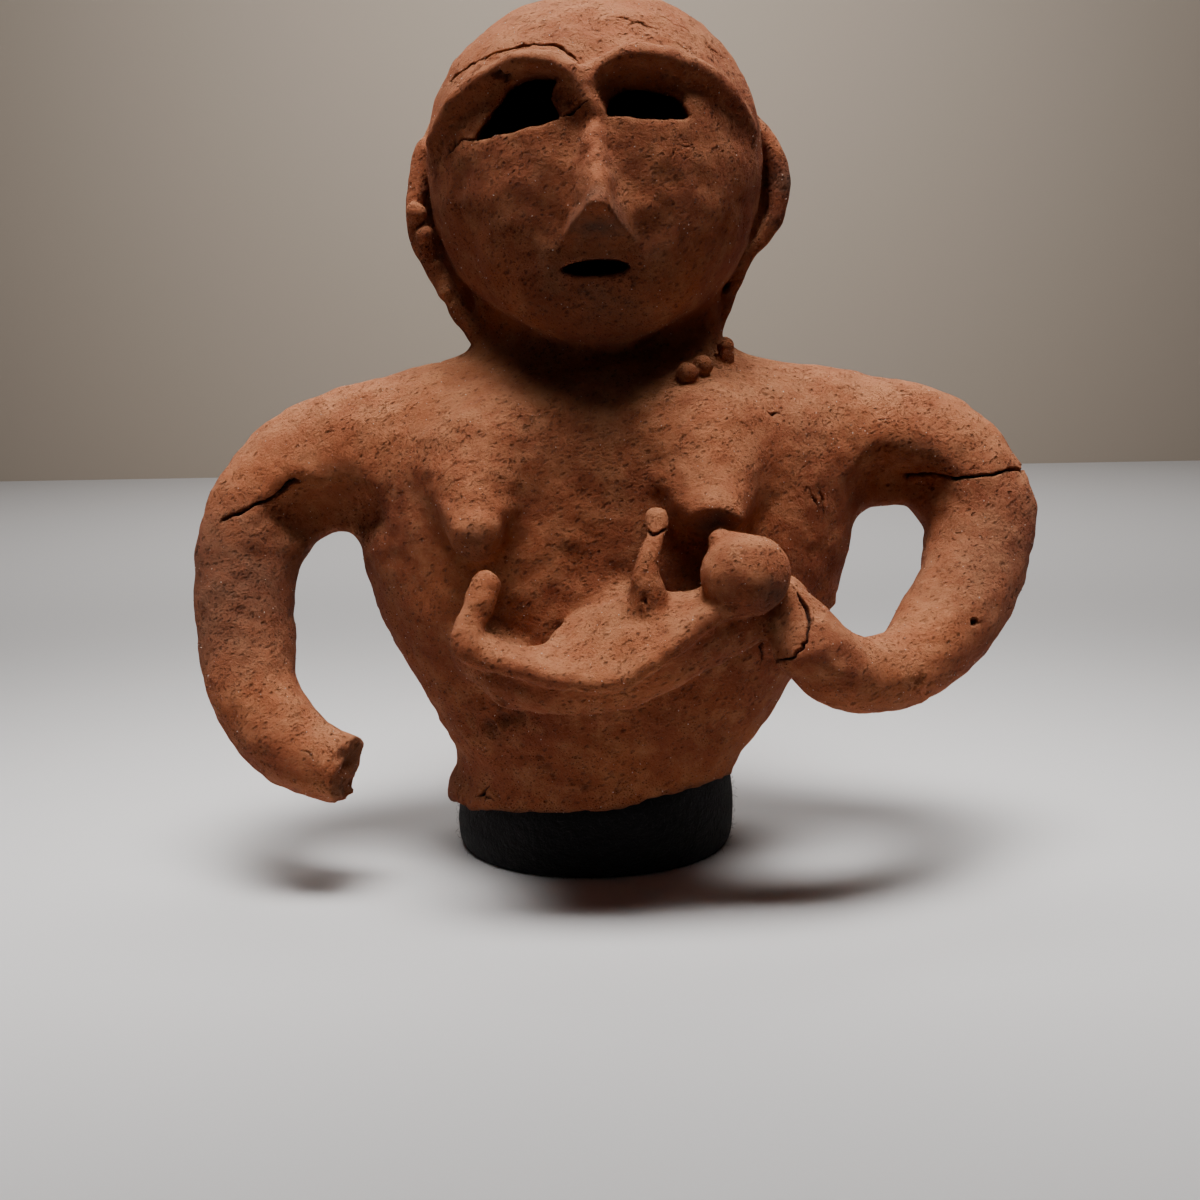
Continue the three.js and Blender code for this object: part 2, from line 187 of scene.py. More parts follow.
# Cracks that run over the surface: breadth, depth, and their course in the front plane as (x, z).
SURFACE_CRACKS = [
    (1.3, 2.6, [(-57, 355), (-46, 358.5), (-38, 359.5), (-32, 361), (-19, 362), (-12, 361.5), (-7, 359.5),
                (-3, 356), (-0.5, 352.5)]),
    (1.1, 2.2, [(-9, 332.2), (-5.4, 333), (-1.7, 334.8), (2, 336.6)]),
    (1.1, 2.0, [(-43, 327), (-48, 327.6), (-53, 325.5), (-58, 322.5)]),
    (0.7, 1.0, [(10, 375), (16.6, 373.6), (24.3, 370.7), (35.4, 368)]),
    (0.7, 1.0, [(29, 377), (38, 373), (47, 368.5)]),
    (0.8, 1.1, [(51, 364), (56.6, 363), (62, 360)]),
    (0.7, 0.9, [(36, 364), (44, 361), (50, 360)]),
    (0.8, 1.0, [(37.5, 321), (36.5, 318), (34.5, 315)]),
    (0.7, 0.8, [(37.5, 321), (41, 321.5), (46, 320)]),
    (1.6, 3.0, [(84, 143), (87, 138), (89, 133), (88.8, 128.5), (86.8, 123.5), (82.5, 118), (76.5, 113.5),
                (74.5, 110.5), (76.5, 106), (75, 101)]),
    (1.5, 2.4, [(-57, 36), (-53, 38.5), (-50, 42.5), (-49, 46)]),
    (1.3, 2.2, [(-53, 38.5), (-47, 37)]),
    (1.3, 2.2, [(-44.5, 42.5), (-43.5, 38)]),
    (1.2, 1.8, [(76, 215), (80, 213), (83, 213.5), (86, 212)]),
    (1.0, 1.4, [(128, 210), (133, 208.5), (137, 209.5)]),
    (1.3, 0.6, [(-64, 188), (-56, 195), (-50, 198)]),
    (1.3, 0.6, [(-62, 183), (-55, 189), (-47, 192)]),
    (1.3, 1.2, [(96, 181), (100, 175), (101, 168)]),
    (1.2, 1.0, [(101, 181), (104, 174), (104, 165)]),
    (1.1, 0.8, [(-130, 72), (-124, 69), (-121, 64)]),
    (1.0, 0.8, [(-118, 73), (-114, 68), (-117, 63)]),
]
# Cracks that run right round a roll of clay: breadth, depth, a place in its middle, the way the crack faces,
# its reach, and how far the clay under it stands out.
RING_CRACKS = [
    (1.9, 3.6, (-152, -13, 176), (-0.45, 0, 0.89), 29, 0.9),
    (1.5, 3.2, (177, -12, 184), (-0.06, 0, 1.0), 31, 0.6),
    (0.9, 1.6, (28, -86, 167.5), (-0.1, -0.3, 1.0), 9, 0.0),
]
# Pits and dents pressed into the front: their place (x, z), radius and depth.
PITS = [
    (-26, 91.5, 4.6, 6.5), (-31, 90, 3.2, 3), (-47, 76, 5, 2.6), (-40, 80.5, 4, 2.8),
    (-33.5, 83, 4.5, 2.6), (165.5, 123.5, 2.2, 3.2), (-33, 349.6, 2.8, 3.6), (-29.5, 348.6, 2.4, 3.2),
    (-4, 47.5, 2.2, 1.4), (-21, 58, 2.4, 1.2), (-24, 62, 2, 1), (22.5, 140.5, 1.6, 1.2),
    (138, 102, 3, 1.4), (-41, 88, 3, 1.3), (-38, 97, 2.6, 1.2),
]
LUG = [(106, -27, 136, 2.6), (109, -26, 130, 3.2), (111, -25, 125, 3)]

# Dark spots: soot from the fire at the nose tip, the infant's nape and the ears; painted shade under the nose
# (where there is also a soot mark), on the chin, on the upper arms under the shoulders and in the armpits;
# and dark patches at the tips of the breasts. Place, radius and strength.
SOOT_AND_SHADE = [
    ((5, -97, 299), 6, 0.75), ((73, -107, 143), 11, 0.8), ((52, -86, 171), 8, 0.7), ((95, 2, 318), 13, 0.85),
    ((90, 4, 300), 9, 0.6), ((-66, 2, 284), 12, 0.4), ((5.5, -84, 289), 15, 0.8), ((5.5, -72, 260), 36, 0.5),
    ((-163, -36, 138), 50, 0.6), ((180, -40, 140), 45, 0.35), ((150, -50, 185), 26, 0.4),
    ((-124, -44, 168), 20, 0.45), ((-48, -84, 163), 10, 0.45),
]

# The surface's unevenness: height, spacing and seed of each layer of swells.
BROAD_SWELLS = [(1.5, 25, 3), (0.95, 11, 5)]
FINE_SWELLS = [(0.85, 5, 8), (0.5, 2.9, 13)]

# ---- Reading lists of sizes ----


def tangents(at, values):
    """Slopes of a smooth curve through values at places, for cubic pieces between them."""
    steps = np.diff(at)[:, None]
    secants = np.diff(values, axis=0) / steps
    inner = (secants[:-1] * steps[1:] + secants[1:] * steps[:-1]) / (steps[1:] + steps[:-1])
    return np.vstack([secants[:1], inner, secants[-1:]])


def smooth_values(at, values, where):
    """Values of the smooth curve at new places; past the ends, the end values stay."""
    at, values = np.asarray(at, float), np.asarray(values, float)
    slopes = tangents(at, values)
    where = np.clip(where, at[0], at[-1])
    i = np.clip(np.searchsorted(at, where, side="right") - 1, 0, len(at) - 2)
    width = (at[i + 1] - at[i])[:, None]
    t = ((where - at[i]) / (at[i + 1] - at[i]))[:, None]
    start = (2 * t**3 - 3 * t**2 + 1) * values[i] + (t**3 - 2 * t**2 + t) * width * slopes[i]
    end = (3 * t**2 - 2 * t**3) * values[i + 1] + (t**3 - t**2) * width * slopes[i + 1]
    return start + end


def along_path(places, spacing):
    """Evenly spaced rows of a smooth path through places, whose first columns are x, y and z."""
    places = np.asarray(places, float)
    reach = np.concatenate([[0], np.cumsum(np.linalg.norm(np.diff(places[:, :3], axis=0), axis=1))])
    count = max(2, int(math.ceil(reach[-1] / spacing)) + 1)
    return smooth_values(reach, places, np.linspace(0, reach[-1], count))


def edge_height(x):
    """Height of the clay's broken lower edge at each x, in millimetres."""
    table = np.array(EDGE, float)
    return smooth_values(table[:, 0], table[:, 1:], x)[:, 0]


def ruggedness(x, y, z, spacing, seed):
    """Smooth random swells between -1 and 1, about spacing millimetres apart, at any places."""
    table = np.random.default_rng(seed).uniform(-1, 1, (32, 32, 32)).astype(np.float32)
    places = np.broadcast_arrays(x / spacing, y / spacing, z / spacing)
    cells = [np.floor(p).astype(int) for p in places]
    parts = [p - c for p, c in zip(places, cells)]
    parts = [t * t * (3 - 2 * t) for t in parts]
    total = np.zeros(places[0].shape)
    for corner in itertools.product((0, 1), repeat=3):
        weight = np.ones(total.shape)
        for part, far in zip(parts, corner):
            weight = weight * (part if far else 1 - part)
        i, j, k = ((c + far) % 32 for c, far in zip(cells, corner))
        total += weight * table[i, j, k]
    return total


# ---- Clay as distances on a grid ----

FAR = 60.0  # a distance that is past every blend
BREAK_ROUNDING = 1.5
PLATE_ROUNDING = 3
PLATE_MARGIN = 8
RIDGE_ROUNDING = 12
OUTLINE_STEPS = 90


def smooth_min(a, b, reach):
    """The nearer of two surfaces, with a fillet of clay where they meet."""
    fillet = np.maximum(reach - np.abs(a - b), 0) / reach
    return np.minimum(a, b) - fillet * fillet * (reach / 4)


def smooth_max(a, b, reach):
    return -smooth_min(-a, -b, reach)


class ClayBlock:
    """Distances to the clay's surface, in millimetres, at the points of a grid: negative in the clay."""

    def __init__(self, low, high, step):
        self.step = step
        self.axes = [np.arange(a, b, step, dtype=np.float32) for a, b in zip(low, high)]
        self.field = np.full([len(axis) for axis in self.axes], FAR, np.float32)

    def window(self, low, high):
        """The part of the grid between two corners: its slices, and its coordinates along each axis."""
        spans = []
        for axis, a, b in zip(self.axes, low, high):
            first = max(0, int((a - axis[0]) / self.step))
            last = min(len(axis), int((b - axis[0]) / self.step) + 2)
            spans.append(slice(first, max(first + 1, last)))
        points = [axis[span] for axis, span in zip(self.axes, spans)]
        return tuple(spans), (points[0][:, None, None], points[1][None, :, None], points[2][None, None, :])

    def everywhere(self):
        return self.window([axis[0] for axis in self.axes], [axis[-1] for axis in self.axes])

    def window_round(self, centre, radii, blend):
        reach = np.add(radii, blend * 1.5)
        return self.window(np.subtract(centre, reach), np.add(centre, reach))

    def join(self, spans, distances, fillet):
        self.field[spans] = smooth_min(self.field[spans], distances, fillet)

    def cut(self, spans, distances, rounding):
        self.field[spans] = smooth_max(self.field[spans], -distances, rounding)

    def window_along(self, rows, margin):
        """The window round rows of x, y, z and radius, and a block of far distances for it."""
        low = (rows[:, :3] - rows[:, 3:]).min(axis=0) - margin
        high = (rows[:, :3] + rows[:, 3:]).max(axis=0) + margin
        spans, points = self.window(low, high)
        return spans, points, np.full(self.field[spans].shape, FAR, np.float32)

    def roll(self, places, fillet, broken=None):
        """Joins a roll of clay through places with radii. It may end in a broken face."""
        rows = along_path(places, self.step * 1.2)
        margin = fillet + self.step * 2
        spans, points, near = self.window_along(rows, margin)
        offset = [span.start for span in spans]
        for *centre, radius in rows:
            reach = radius + margin
            small, (x, y, z) = self.window(np.subtract(centre, reach), np.add(centre, reach))
            local = tuple(slice(s.start - o, s.stop - o) for s, o in zip(small, offset))
            ball = np.sqrt((x - centre[0]) ** 2 + (y - centre[1]) ** 2 + (z - centre[2]) ** 2) - radius
            near[local] = np.minimum(near[local], ball[tuple(slice(0, n) for n in near[local].shape)])
        if broken:
            near = smooth_max(near, break_distance(broken, *points), BREAK_ROUNDING)
        self.join(spans, near, fillet)

    def slab(self, front, back, fillet):
        """Joins a slab of clay that lies between two lines of rolls."""
        front, back = along_path(front, 1), along_path(back, 1)
        count = max(len(front), len(back))
        front, back = (line[np.linspace(0, len(line) - 1, count).astype(int)] for line in (front, back))
        spans, points, near = self.window_along(np.vstack([front, back]), fillet + self.step * 2)
        for start, end in zip(front, back):
            near = np.minimum(near, tapered_distance(start, end, *points))
        self.join(spans, near, fillet)

    def plate(self, outline, faces, fillet):
        """Joins a plate of clay that follows an outline in the front plane, between two faces."""
        corners = np.array(outline, float)
        low, high = corners.min(axis=0) - PLATE_MARGIN, corners.max(axis=0) + PLATE_MARGIN
        spans, (x, y, z) = self.window((low[0], faces[0] - PLATE_MARGIN, low[1]),
                                       (high[0], faces[1] + PLATE_MARGIN, high[1]))
        thick = np.abs(y - sum(faces) / 2) - (faces[1] - faces[0]) / 2
        flat = outline_distance(outline, x, z)
        self.join(spans, smooth_max(flat + 0 * y, thick + 0 * x, PLATE_ROUNDING), fillet)

    def ball(self, form, fillet):
        spans, points = self.window_round(form["centre"], form["radii"], fillet)
        self.join(spans, ball_distance(form, *points), fillet)


def round_form(centre, radii):
    return {"centre": centre, "radii": radii, "squareness": 2}


def break_distance(broken, x, y, z):
    """Distance past a rough broken face."""
    (cx, cy, cz), facing = broken["centre"], np.array(broken["facing"])
    nx, ny, nz = facing / np.linalg.norm(facing)
    ragged = 2.4 * ruggedness(x, y, z, 7, 21) + 1.2 * ruggedness(x, y, z, 2.8, 22)
    return (x - cx) * nx + (y - cy) * ny + (z - cz) * nz + ragged


def tapered_distance(start, end, x, y, z):
    """Distance to the rod between two balls, given as rows of x, y, z and radius."""
    (ax, ay, az, ar), (bx, by, bz, br) = start, end
    wx, wy, wz = bx - ax, by - ay, bz - az
    t = ((x - ax) * wx + (y - ay) * wy + (z - az) * wz) / (wx * wx + wy * wy + wz * wz)
    t = np.clip(t, 0, 1)
    away = np.sqrt((x - ax - t * wx) ** 2 + (y - ay - t * wy) ** 2 + (z - az - t * wz) ** 2)
    return away - ar - t * (br - ar)


def ball_distance(form, x, y, z, inset=0.0):
    """Distance to a ball or squared ball, or to the one that lies inset inside it."""
    (cx, cy, cz), n = form["centre"], form["squareness"]
    a, b, c = (radius - inset for radius in form["radii"])
    power = np.abs((x - cx) / a) ** n + np.abs((y - cy) / b) ** n + np.abs((z - cz) / c) ** n
    size = np.maximum(power, 1e-4) ** (1 / n)
    return np.sqrt((x - cx) ** 2 + (y - cy) ** 2 + (z - cz) ** 2) * (1 - 1 / size)


def trunk_distance(x, y, z, inset, top):
    """Distance to the trunk's surface, or to the hollow's, which lies inset inside it, closed at the top."""
    table = np.array(TRUNK, float)
    rows = smooth_values(table[:, 0], table[:, 1:], z.ravel().astype(float)).astype(np.float32)
    axis, left, right, front, back = (rows[:, i][None, None, :] for i in range(5))
    dx = x - axis
    wide = np.where(dx < 0, left, right) - inset
    deep = np.where(y < 0, front, back) - inset
    n = TRUNK_SQUARENESS
    size = np.maximum((np.abs(dx) / wide) ** n + (np.abs(y) / deep) ** n, 1e-4) ** (1 / n)
    slope = np.gradient((left + right).ravel() / 2, z.ravel())
    steepness = (1 / np.sqrt(1 + slope**2))[None, None, :]
    side = np.sqrt(dx * dx + y * y) * (1 - 1 / size) * steepness
    return smooth_max(side, z - top, 6)


def outline_distance(outline, x, z):
    """Signed distance in the front plane to a smooth closed outline, negative inside."""
    corners = np.array(outline + outline[:1], float)
    reach = np.concatenate([[0], np.cumsum(np.linalg.norm(np.diff(corners, axis=0), axis=1))])
    around = smooth_values(reach, corners, np.linspace(0, reach[-1], OUTLINE_STEPS))
    nearest = np.full((x.size, z.size), FAR)
    inside = np.zeros(nearest.shape, bool)
    px, pz = x.reshape(-1, 1), z.reshape(1, -1)
    for (ax, az), (bx, bz) in zip(around[:-1], around[1:]):
        dx, dz = bx - ax, bz - az
        t = np.clip(((px - ax) * dx + (pz - az) * dz) / (dx * dx + dz * dz + 1e-12), 0, 1)
        nearest = np.minimum(nearest, np.hypot(px - ax - t * dx, pz - az - t * dz))
        slope = dx / (dz if abs(dz) > 1e-9 else 1e-9)
        inside ^= ((az > pz) != (bz > pz)) & (px < ax + (pz - az) * slope)
    return np.where(inside, -nearest, nearest)[:, None, :].astype(np.float32)


def nose_distance(x, y, z):
    """A wedge with a rounded ridge and an undercut foot."""
    bridge, tip = np.array(NOSE["bridge"], float), np.array(NOSE["tip"], float)
    left, right = (np.array(wing, float) for wing in NOSE["wings"])

    def plane(a, b, c):
        normal = np.cross(b - a, c - a)
        normal = normal / np.linalg.norm(normal)
        return (x - a[0]) * normal[0] + (y - a[1]) * normal[1] + (z - a[2]) * normal[2]

    sides = smooth_max(plane(bridge, left, tip), plane(bridge, tip, right), RIDGE_ROUNDING)
    return smooth_max(sides, plane(tip, left, right), BREAK_ROUNDING)


def unevenness(shape, step, spacing, seed):
    """Smooth random swells between -1 and 1, spacing millimetres apart, at every point of a grid."""
    rng = np.random.default_rng(seed)
    blends = []
    for count in shape:
        places = np.arange(count) * step / spacing
        knots = int(places[-1]) + 4
        offset = np.abs(places[:, None] + 1 - np.arange(knots)[None, :])
        near = np.where(offset < 1, 2 / 3 - offset**2 + offset**3 / 2, np.maximum(2 - offset, 0) ** 3 / 6)
        blends.append(near.astype(np.float32))
    swell = rng.uniform(-1.7, 1.7, [b.shape[1] for b in blends]).astype(np.float32)
    swell = np.tensordot(blends[0], swell, axes=(1, 0))
    swell = np.tensordot(swell, blends[1], axes=(1, 1))
    return np.tensordot(swell, blends[2], axes=(1, 1))


# ---- The figure ----


def work_outside(block):
    """Trunk, head, arms and the features of the face, smoothed into one form."""
    spans, (x, y, z) = block.everywhere()
    block.join(spans, trunk_distance(x, y, z, 0, TRUNK[-1][0]), 1)
    block.ball(HEAD, 5)
    block.ball(JAW, 6)
    block.roll(RIGHT_ARM, 16, broken=WRIST_BREAK)
    block.roll(LEFT_ARM, 16)
    block.roll(LAP, 9)
    block.roll(RIGHT_BREAST, 9)
    block.roll(LEFT_BREAST, 10, broken=BREAST_BREAK)
    for brow in BROWS:
        block.roll(brow, 5)
    spans, points = block.window(*NOSE_WINDOW)
    block.join(spans, nose_distance(*points), 5)
    for centre, radii, rounding in HOLLOWS:
        spans, points = block.window_round(centre, radii, rounding)
        block.cut(spans, ball_distance(round_form(centre, radii), *points), rounding)
    block.plate(LEFT_EAR_WEB, EAR_WEB_FACES, 4)
    block.plate(RIGHT_EAR_WEB, EAR_WEB_FACES, 4)
    block.roll(LEFT_EAR, 3.5)
    block.roll(RIGHT_EAR, 3.5)


def swell_surface(block, swells):
    """The hand-worked unevenness of the whole surface."""
    for height, spacing, seed in swells:
        block.field += height * unevenness(block.field.shape, block.step, spacing, seed)


def cut_openings(block, wall):
    """The hollow, the eyes and the mouth."""
    spans, (x, y, z) = block.everywhere()
    trunk = trunk_distance(x, y, z, wall, TRUNK_HOLLOW_TOP)
    block.cut(spans, smooth_min(trunk, ball_distance(HEAD, x, y, z, wall), 8), 2.5)
    front, back = FACE_CUT
    for outline in (RIGHT_EYE, LEFT_EYE, MOUTH):
        corners = np.array(outline)
        low, high = corners.min(axis=0) - CUT_MARGIN, corners.max(axis=0) + CUT_MARGIN
        spans, (x, y, z) = block.window((low[0], front, low[1]), (high[0], back, high[1]))
        block.cut(spans, outline_distance(outline, x, z) + 0 * y, 1.6)


def break_waist(block):
    """The broken lower edge, rough and slightly higher on one side."""
    spans, (x, y, z) = block.everywhere()
    height = edge_height(x.ravel().astype(float)).astype(np.float32).reshape(-1, 1, 1)
    rough = 1.3 * ruggedness(x, y, 0, 13, 31) + 0.7 * ruggedness(x, y, 0, 4, 32)
    block.cut(spans, z - height - rough.astype(np.float32), 2)


def add_infant(block):
    block.slab(INFANT_FRONT, INFANT_BACK, 3)
    block.slab(INFANT_SHOULDER_FRONT, INFANT_SHOULDER_BACK, 3)
    block.roll(INFANT_LEG, 2)
    block.roll(INFANT_ARM, 4)
    block.ball(INFANT_HEAD, 3.5)
    block.roll(INFANT_FACE, 2)
    block.roll(LEFT_THUMB, 4)
    block.roll(LUG, 3)
    for pellet in EAR_PELLETS + NECK_BEADS:
        block.ball(round_form(pellet[:3], pellet[3:] * 3), 1.2)


def in_order(points, quads):
    """The same surface with its points and faces sorted, so that every run makes the same mesh."""
    order = np.lexsort(points.T)
    rank = np.empty(len(order), np.int64)
    rank[order] = np.arange(len(order))
    quads = rank[quads]
    turn = (quads.argmin(axis=1)[:, None] + np.arange(4)) % 4
    quads = np.take_along_axis(quads, turn, axis=1)
    return points[order], quads[np.lexsort(quads.T[::-1])]


def mesh_of(block, name):
    """The clay's surface as a mesh, in metres."""
    grid = openvdb.FloatGrid(FAR)
    grid.copyFromArray(np.ascontiguousarray(np.clip(block.field, -FAR, FAR)))
    points, quads = in_order(*grid.convertToQuads(0.0))
    origin = np.array([axis[0] for axis in block.axes])
    points = (points * block.step + origin) * MM
    mesh = bpy.data.meshes.new(name)
    mesh.vertices.add(len(points))
    mesh.vertices.foreach_set("co", points.astype(np.float32).ravel())
    mesh.loops.add(quads.size)
    mesh.loops.foreach_set("vertex_index", quads.astype(np.int32).ravel())
    mesh.polygons.add(len(quads))
    mesh.polygons.foreach_set("loop_start", np.arange(0, quads.size, 4, dtype=np.int32))
    mesh.update(calc_edges=True)
    mesh.validate()
    return mesh


def keep_largest(mesh):
    """Drops every loose crumb and sealed bubble, and keeps the one connected surface."""
    bm = bmesh.new()
    bm.from_mesh(mesh)
    seen, groups = set(), []
    for start in bm.verts:
        if start.index in seen:
            continue
        seen.add(start.index)
        group, stack = [], [start]
        while stack:
            v = stack.pop()
            group.append(v)
            for edge in v.link_edges:
                other = edge.other_vert(v)
                if other.index not in seen:
                    seen.add(other.index)
                    stack.append(other)
        groups.append(group)
    groups.sort(key=len)
    for group in groups[:-1]:
        bmesh.ops.delete(bm, geom=group, context="VERTS")
    bm.to_mesh(mesh)
    bm.free()


def thin_out(obj, triangles):
    """Brings the mesh down to a number of triangles, keeping them where the surface turns."""
    obj.data.calc_loop_triangles()
    modifier = obj.modifiers.new("Thin out", "DECIMATE")
    modifier.ratio = min(1.0, triangles / len(obj.data.loop_triangles))
    apply_modifiers(obj)


def apply_modifiers(obj):
    """Puts what the modifiers make into the object's own mesh."""
    graph = bpy.context.evaluated_depsgraph_get()
    made = bpy.data.meshes.new_from_object(obj.evaluated_get(graph))
    old = obj.data
    obj.modifiers.clear()
    obj.data = made
    made.name = old.name
    bpy.data.meshes.remove(old)


def wandering(points, spacing, sway, seed):
    """Points of a crack's course, closer together and swaying from side to side."""
    rows = along_path(points, spacing)
    for i, row in enumerate(rows):
        drift = noise.noise_vector(Vector((i * spacing * 0.45, seed * 7.3, 1.7))) * sway
        row += np.array(drift)
    return rows


class Damage:
    """Cracks and pits cut into a finished mesh, whose vertices are in metres."""

    def __init__(self, mesh):
        self.bm = bmesh.new()
        self.bm.from_mesh(mesh)
        self.tree = BVHTree.FromBMesh(self.bm)
        self.lines = []
        self.pits = []

    def front(self, x, z):
        """The point of the front surface at (x, z), in millimetres."""
        hit = self.tree.ray_cast(Vector((x, -300, z)) * MM, Vector((0, 1, 0)))[0]
        return hit / MM if hit else None

    def draw(self):
        for number, (breadth, depth, course) in enumerate(SURFACE_CRACKS):
            rough = wandering([(x, 0, z) for x, z in course], 1.6, 1.2, number)
            hits = [self.front(x, z) for x, _, z in rough]
            self.lines.append((breadth, depth, np.array([hit for hit in hits if hit])))
        for x, z, radius, depth in PITS:
            hit = self.front(x, z)
            if hit:
                self.pits.append((np.array(hit), radius, depth))

    def crack_depth(self, points):
        """How deep each point, in millimetres, goes into a crack, and how much painted shade it gets there.
        """
        depth = np.zeros(len(points))
        inside = np.zeros(len(points))
        for breadth, deep, line in self.lines:
            near = beside(line, points, 4)
            if not len(near):
                continue
            away = segment_distance(points[near], line)
            ends = np.minimum(np.linalg.norm(points[near] - line[0], axis=1),
                              np.linalg.norm(points[near] - line[-1], axis=1))
            taper = np.clip(ends / 6, 0.35, 1) * (0.8 + 0.5 * ruggedness(*points[near].T, 3.5, 51))
            part = np.clip(1.35 - away / (breadth / 2 * taper), 0, 1)
            depth[near] = np.maximum(depth[near], part * deep * taper)
            # Painted shade in the crack, darker where the crack is deeper.
            inside[near] = np.maximum(inside[near], part * min(1.0, deep / 2))
        for ring in RING_CRACKS:
            breadth, deep = ring[:2]
            near, side = ring_side(ring, points)
            part = np.clip(1.35 - np.abs(side) / (breadth / 2), 0, 1)
            depth[near] = np.maximum(depth[near], part * deep)
            # Painted shade in the ring crack.
            inside[near] = np.maximum(inside[near], part)
            depth[near] -= ring[5] * np.exp(side / 3) * (side < -breadth / 2)
        return depth, inside

    def near_cracks(self, points, margin):
        """Which points, in millimetres, lie within margin of a crack or a pit."""
        found = np.zeros(len(points), bool)
        for breadth, _, line in self.lines:
            near = beside(line, points, margin)
            if len(near):
                found[near] |= segment_distance(points[near], line) < margin + breadth
        for ring in RING_CRACKS:
            near, side = ring_side(ring, points)
            found[near] |= np.abs(side) < margin + ring[0]
        for centre, radius, _ in self.pits:
            found |= np.linalg.norm(points - centre, axis=1) < radius + margin * 0.5
        return found

    def refine(self, passes):
        """Splits the edges beside cracks and pits, so that these are crisp."""
        for margin in passes:
            self.bm.verts.ensure_lookup_table()
            points = np.array([v.co for v in self.bm.verts]) / MM
            close = self.near_cracks(points, margin)
            edges = [e for e in self.bm.edges if close[e.verts[0].index] and close[e.verts[1].index]
                     and e.calc_length() > 0.7 * MM]
            bmesh.ops.subdivide_edges(self.bm, edges=edges, cuts=1, use_grid_fill=True)
            bmesh.ops.triangulate(self.bm, faces=[f for f in self.bm.faces if len(f.verts) > 3])
            self.bm.verts.index_update()

    def press(self):
        """Moves the surface in along its own normals, and notes how much painted shade each vertex gets in
        cracks and pits.
        """
        self.bm.normal_update()
        self.bm.verts.ensure_lookup_table()
        points = np.array([v.co for v in self.bm.verts]) / MM
        normals = np.array([v.normal for v in self.bm.verts])
        depth, inside = self.crack_depth(points)
        for centre, radius, deep in self.pits:
            away = np.linalg.norm(points - centre, axis=1) / radius
            hollow = np.clip(1 - away**2, 0, 1) ** 0.8
            depth = np.maximum(depth, hollow * deep)
            # Painted shade in the pit, darker where it is deep for its width.
            inside = np.maximum(inside, hollow * min(1.0, deep / (radius * 1.4)))
        moved = (points - normals * depth[:, None]) * MM
        for v, place in zip(self.bm.verts, moved):
            v.co = place
        return inside

    def finish(self, mesh):
        self.bm.to_mesh(mesh)
        self.bm.free()


def beside(line, points, margin):
    """Which points lie in the box round a line, with a margin."""
    low, high = line.min(axis=0) - margin, line.max(axis=0) + margin
    return np.nonzero(((points > low) & (points < high)).all(axis=1))[0]


def ring_side(ring, points):
    """Which points lie within a ring crack's reach, and how far each is above it, or below if negative."""
    _, _, centre, facing, reach, _ = ring
    offset = points - np.array(centre)
    near = np.nonzero(np.linalg.norm(offset, axis=1) < reach)[0]
    normal = np.array(facing) / np.linalg.norm(facing)
    x, y, z = points[near].T
    sway = 1.8 * ruggedness(x, y, z, 12, 41) + 0.8 * ruggedness(x, y, z, 3.5, 42)
    return near, offset[near] @ normal + sway * min(1.0, reach / 30)


def segment_distance(points, line):
    """Distance from each point to a chain of points."""
    nearest = np.full(len(points), np.inf)
    for a, b in zip(line[:-1], line[1:]):
        way = b - a
        t = np.clip(((points - a) @ way) / max(way @ way, 1e-9), 0, 1)
        nearest = np.minimum(nearest, np.linalg.norm(points - a - t[:, None] * way, axis=1))
    return nearest


def note(mesh, name, values):
    """Stores one number for each vertex, for the material to read."""
    attribute = mesh.attributes.new(name, "FLOAT", "POINT")
    attribute.data.foreach_set("value", np.asarray(values, np.float32))


def soot_and_shade_on(points):
    """How dark each point is made by soot from the fire and by painted shade, from 0 to 1."""
    soot_and_shade = np.zeros(len(points))
    for place, radius, strength in SOOT_AND_SHADE:
        away = np.linalg.norm(points - np.array(place, float), axis=1) / radius
        soot_and_shade = np.maximum(soot_and_shade, strength * np.clip(1 - away, 0, 1) ** 0.7)
    return soot_and_shade


def broken_on(points):
    """1 on the wrist's and the breast's fracture and on the waist's broken edge, 0 elsewhere."""
    raw = np.zeros(len(points))
    x, y, z = points.T
    for broken, reach in ((WRIST_BREAK, 22), (BREAST_BREAK, 13)):
        past = break_distance(broken, x, y, z)
        near = np.linalg.norm(points - np.array(broken["centre"], float), axis=1) < reach
        raw = np.maximum(raw, near * np.clip(1 - np.abs(past) / 1.6, 0, 1))
    return np.maximum(raw, np.clip(1.6 - (z - edge_height(x)) / 1.6, 0, 1) * (z < 60))


def vertices_of(mesh):
    """The mesh's vertices, one row each, in millimetres."""
    flat = np.empty(len(mesh.vertices) * 3, np.float32)
    mesh.vertices.foreach_get("co", flat)
    return flat.reshape(-1, 3).astype(float) / MM


# ---- Materials ----

PALE_GRAIN = (0.72, 0.48, 0.33)
DARK_GRAIN = (0.1, 0.028, 0.012)
# The colour of the painted shade in the pits.
PIT_SHADE = (0.09, 0.024, 0.01)
BROKEN_BROWN = (0.15, 0.055, 0.026)
# The colour of the painted shade in the cracks and the deeper pits.
CRACK_SHADE = (0.025, 0.009, 0.005)


def feed(tree, socket, value):
    """Joins another node's output to a socket, or sets the socket's own value."""
    if isinstance(value, bpy.types.NodeSocket):
        tree.links.new(value, socket)
    else:
        socket.default_value = value


class Nodes:
    """A node tree, with a short way to add and join nodes."""

    def add(self, kind, inputs=None, **settings):
        node = self.tree.nodes.new(kind)
        for key, value in settings.items():
            setattr(node, key, value)
        for key, value in (inputs or {}).items():
            feed(self.tree, node.inputs[key], value)
        return node


